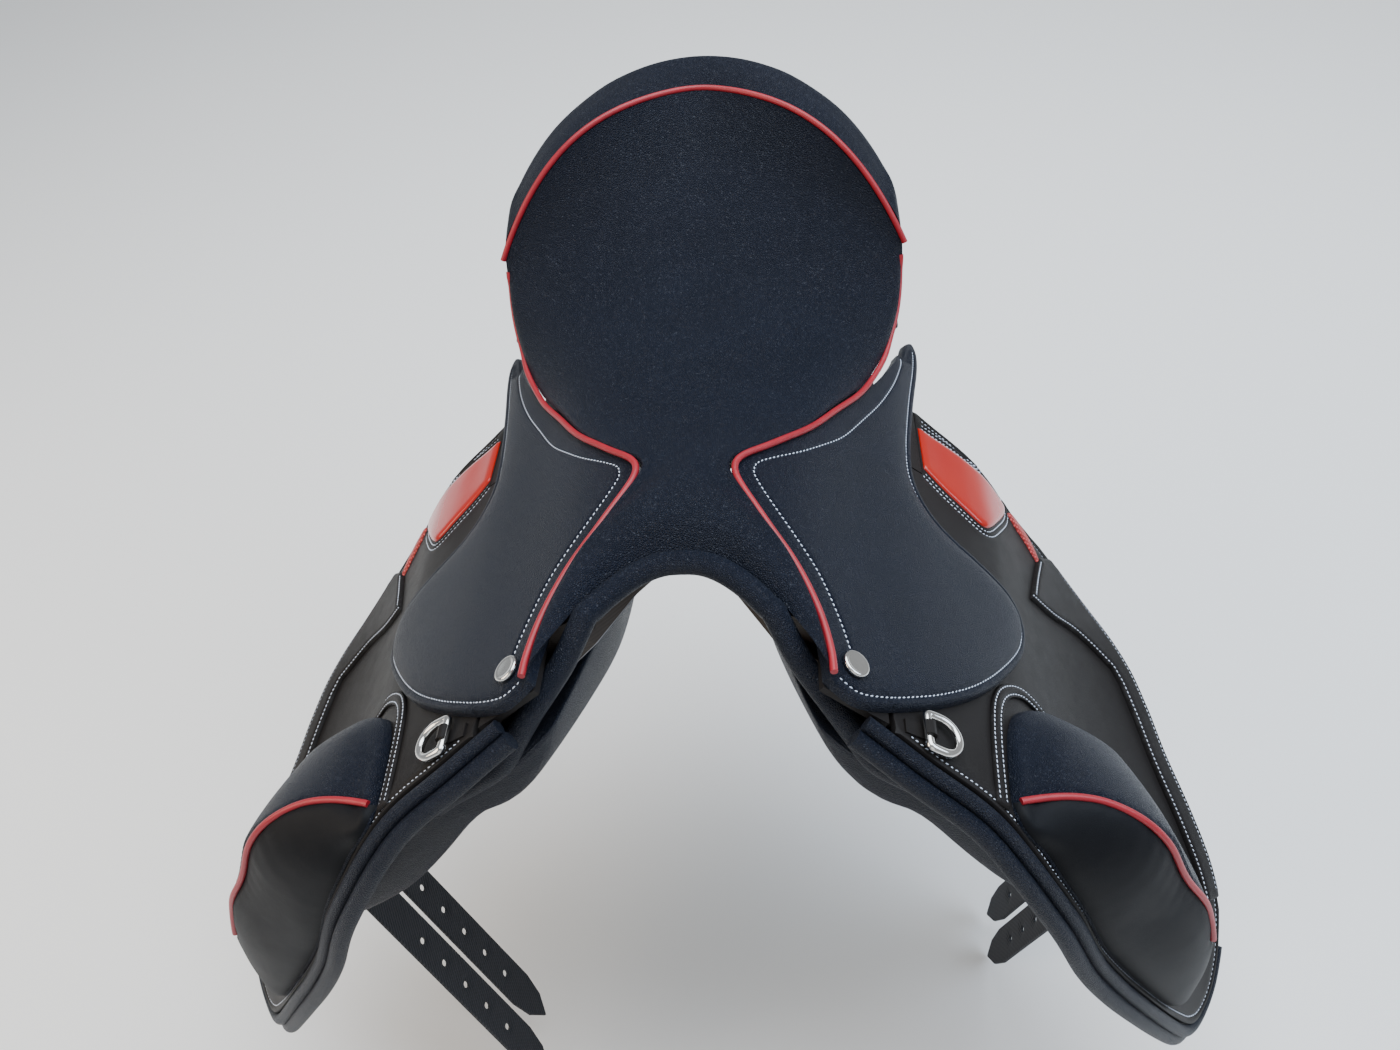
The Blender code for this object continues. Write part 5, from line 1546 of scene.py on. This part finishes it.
class SADDLE_OT_straps(bpy.types.Operator):
    """Girth straps of ribbed webbing with their holes, and the web that carries them"""
    bl_idname = "saddle.straps"
    bl_label = "Girth straps"

    def execute(self, context):
        low = WEB_HOLD - BILLET_T
        front, rear = BILLET_Y[0] - BILLET_WIDTH / 2, BILLET_Y[1] + BILLET_WIDTH / 2
        middle = (front + rear) / 2
        corners = ((front, WEB_HOLD), (rear, WEB_HOLD), (rear, low), (front, low))
        rings, pattern = [], []
        for s in np.linspace(104, BILLET_EDGE, 40):
            ring = np.array([lie(y, s, h) for y, h in corners])
            if s == BILLET_EDGE:  # the lower end is straight, for the straps to hang from
                ring[:, ::2] = [lie(middle, s, h)[::2] for _, h in corners]
            rings.append(tipped(ring))
            pattern += [(y, s) for y, _ in corners]
        both_sides("strap_web", *loft(rings), "webbing", "saddle", "billet_web", np.array(pattern))
        for name, y, length in zip(("front", "rear"), BILLET_Y, BILLET_LENGTHS):
            start = lie(middle, BILLET_EDGE + BILLET_DROP, (WEB_HOLD + low) / 2)
            start[1] = y
            for side, hang in BILLET_HANG.items():
                self.strap(name, side, start, length, *np.radians(hang))
        return {"FINISHED"}

    def strap(self, name, side, start, length, lean, back):
        """A pointed strap that hangs from its start, leaning inwards and backwards."""
        flat = math.cos(back)
        down = np.array([-math.sin(lean) * flat, math.sin(back), -math.cos(lean) * flat])
        out = np.array([math.cos(lean), 0, -math.sin(lean)])
        across = unit(np.cross(down, out))
        half, shoulder = BILLET_WIDTH / 2, BILLET_WIDTH / 2 * 0.72
        shape = [
            (-half, 0.2), (half, 0.2), (half, length - 32), (shoulder, length - 14), (0, length),
            (-shoulder, length - 14), (-half, length - 32),
        ]
        hole = circle(14) * HOLE_R
        holes = [hole + [0, length - HOLE_START - HOLE_PITCH * k] for k in range(HOLE_COUNT)]
        points, faces, edge = cut_sheet(shape, 3.6, (0.4, 1.1), (), holes, 2.0)
        distance = distance_to(points, joined(edge))
        for hole in holes:
            distance = np.minimum(distance, distance_to(points, joined(hole)) * 1.5)
        level = BILLET_T / 2 - rolled_edge(distance, 0.8)

        def place(where, height):
            return start + where[:, :1] * across + where[:, 1:] * down + height[:, None] * out

        verts, every, pattern = closed_sheet(points, faces, place, level, -level)
        add_piece(
            f"strap_{name}_{side}", tipped(verts) * SIDES[side], every, "webbing",
            f"billet_{name}_{side}_body", f"billet_{name}_{side}", pattern,
        )


# Fittings

class SADDLE_OT_fittings(bpy.types.Operator):
    """Bare nail heads and dee rings"""
    bl_idname = "saddle.fittings"
    bl_label = "Fittings"

    def execute(self, context):
        at = drape([NAIL_PLACE], SKIRT_TOP + NAIL_LIFT)[0]
        normal = surface_normal(*np.array([NAIL_PLACE]).T)[0]
        first = unit(np.cross(normal, [0.0, 1.0, 0.0]))
        turn = circle(48)
        flat = turn[:, :1] * first + turn[:, 1:] * np.cross(normal, first)
        verts, faces = loft([tipped(at + normal * height + flat * radius) for radius, height in NAIL_PROFILE])
        both_sides("nail_head", verts, faces, "chrome", "saddle", "saddle_nail", sharp=50.0)
        self.ring()
        return {"FINISHED"}

    def ring(self):
        """A wire bent to a D."""
        at, below = drape([(RING_Y, RING_S), (RING_Y, RING_S + 20)], RING_H)
        down = unit(below - at)
        normal = unit(np.cross(down, [0.0, 1.0, 0.0]))
        half = RING_WIDTH / 2
        turn = np.linspace(0, math.pi, 25)
        bow = np.stack([half * np.cos(turn), RING_DROP + (RING_LENGTH - RING_DROP) * np.sin(turn)], 1)
        start, end = [(half - 2, 0), (half - 0.3, 1.6)], [(0.3 - half, 1.6), (2 - half, 0), (0, 0)]
        shape = np.vstack([start, bow, end])
        shape = curve_through(shape, 3, closed=True)
        loop = at + shape[:, :1] * np.array([0.0, 1.0, 0.0]) + shape[:, 1:] * down
        side = unit(np.cross(unit(np.roll(loop, -1, 0) - np.roll(loop, 1, 0)), normal))
        wire = circle(16)
        rings = [tipped(p + (wire[:, :1] * s + wire[:, 1:] * normal) * RING_WIRE) for p, s in zip(loop, side)]
        verts, faces = loft([*rings, rings[0]], ends=False)
        count = len(rings) * len(wire)
        faces = [tuple(k % count for k in face) for face in faces]
        both_sides("dee", verts[:count], faces, "chrome", "dee_ring_{}_body", "dee_ring", sharp=0.0)


class SADDLE_OT_tree(bpy.types.Operator):
    """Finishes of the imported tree, bars, catches and chapes"""
    bl_idname = "saddle.tree"
    bl_label = "Tree"

    def execute(self, context):
        for name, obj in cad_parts.items():
            kind = TREE_KINDS.get(name.replace("_left", "").replace("_right", ""))
            if kind:
                for slot in obj.material_slots:
                    slot.material = finish(kind)
        return {"FINISHED"}


class SADDLE_OT_threads(bpy.types.Operator):
    """Rows of stitches, one piece for each body"""
    bl_idname = "saddle.threads"
    bl_label = "Stitches"

    def execute(self, context):
        if not THREADS:
            raise RuntimeError("sew the leathers first")
        s = sizes()
        for body, rows in sorted(THREADS.items()):
            values = {
                "Pitch": s.stitch_pitch, "Length": s.stitch_length, "Radius": s.thread,
                "Slant": -SLANT if "right" in body else SLANT, "Seed": STITCH_SEED,
            }
            name = "stitches_" + body.replace("_body", "")
            mesh = along_lines(name, stitch_tree, *map(list, zip(*rows)), values, "thread")
            settled(linked(name, mesh), body, None, "thread")
        return {"FINISHED"}


# Stage

class SADDLE_OT_stage(bpy.types.Operator):
    """Pale floor, soft light and the camera"""
    bl_idname = "saddle.stage"
    bl_label = "Stage"

    def execute(self, context):
        low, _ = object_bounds()
        mesh = bpy.data.meshes.new("floor")
        r, z = FLOOR_HALF, low.z - FLOOR_DROP
        mesh.from_pydata([(-r, -r, z), (r, -r, z), (r, r, z), (-r, r, z)], [], [(0, 1, 2, 3)])
        mesh.materials.append(finish("floor"))
        linked("floor", mesh)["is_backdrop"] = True
        for name, at, size, power, tone in LIGHTS:
            data = bpy.data.lights.new(name, "AREA")
            data.shape = "DISK"
            data.size, data.energy, data.color = size, power, tone
            turn = (Vector(LIT_POINT) - Vector(at)).to_track_quat("-Z", "Y")
            linked(name, data).matrix_world = Matrix.Translation(at) @ turn.to_matrix().to_4x4()
        world = bpy.data.worlds.new("soft_room")
        world.use_nodes = True
        for socket, value in zip(world.node_tree.nodes["Background"].inputs, ROOM_LIGHT):
            socket.default_value = value
        context.scene.world = world
        data = bpy.data.cameras.new("camera")
        data.sensor_fit = "HORIZONTAL"
        data.sensor_width = SENSOR
        data.lens = CAMERA_FOCAL * SENSOR
        data.clip_start = 0.01
        camera = linked("camera", data)
        camera.matrix_world = Matrix.Translation(CAMERA_AT) @ Matrix(CAMERA_AXES).transposed().to_4x4()
        context.scene.camera = camera
        return {"FINISHED"}


ORDER = (
    SADDLE_OT_seat, SADDLE_OT_piping, SADDLE_OT_cantle, SADDLE_OT_pommel_roll, SADDLE_OT_skirts,
    SADDLE_OT_flaps, SADDLE_OT_flap_edges, SADDLE_OT_trims, SADDLE_OT_blocks, SADDLE_OT_panels,
    SADDLE_OT_straps, SADDLE_OT_fittings, SADDLE_OT_tree, SADDLE_OT_threads, SADDLE_OT_stage,
)


class SADDLE_PT_panel(bpy.types.Panel):
    """Sizes, colours and steps of the saddle"""
    bl_idname = "SADDLE_PT_panel"
    bl_label = "Dressage saddle"
    bl_space_type = "VIEW_3D"
    bl_region_type = "UI"
    bl_category = "Saddle"

    def draw(self, context):
        for group in (context.scene.saddle_sizes, context.scene.saddle_colours):
            box = self.layout.box()
            for key in group.bl_rna.properties.keys():
                if key not in ("rna_type", "name"):
                    box.prop(group, key)
        for step in ORDER:
            self.layout.operator(step.bl_idname)


CLASSES = (SaddleSizes, SaddleColours, *ORDER, SADDLE_PT_panel)


def register():
    for each in CLASSES:
        bpy.utils.register_class(each)
    bpy.types.Scene.saddle_sizes = PointerProperty(type=SaddleSizes)
    bpy.types.Scene.saddle_colours = PointerProperty(type=SaddleColours)


def unregister():
    del bpy.types.Scene.saddle_colours
    del bpy.types.Scene.saddle_sizes
    for each in reversed(CLASSES):
        bpy.utils.unregister_class(each)


def main():
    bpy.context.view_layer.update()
    register()
    for step in ORDER:
        group, name = step.bl_idname.split(".")
        getattr(getattr(bpy.ops, group), name)()


if __name__ == "__main__":
    main()
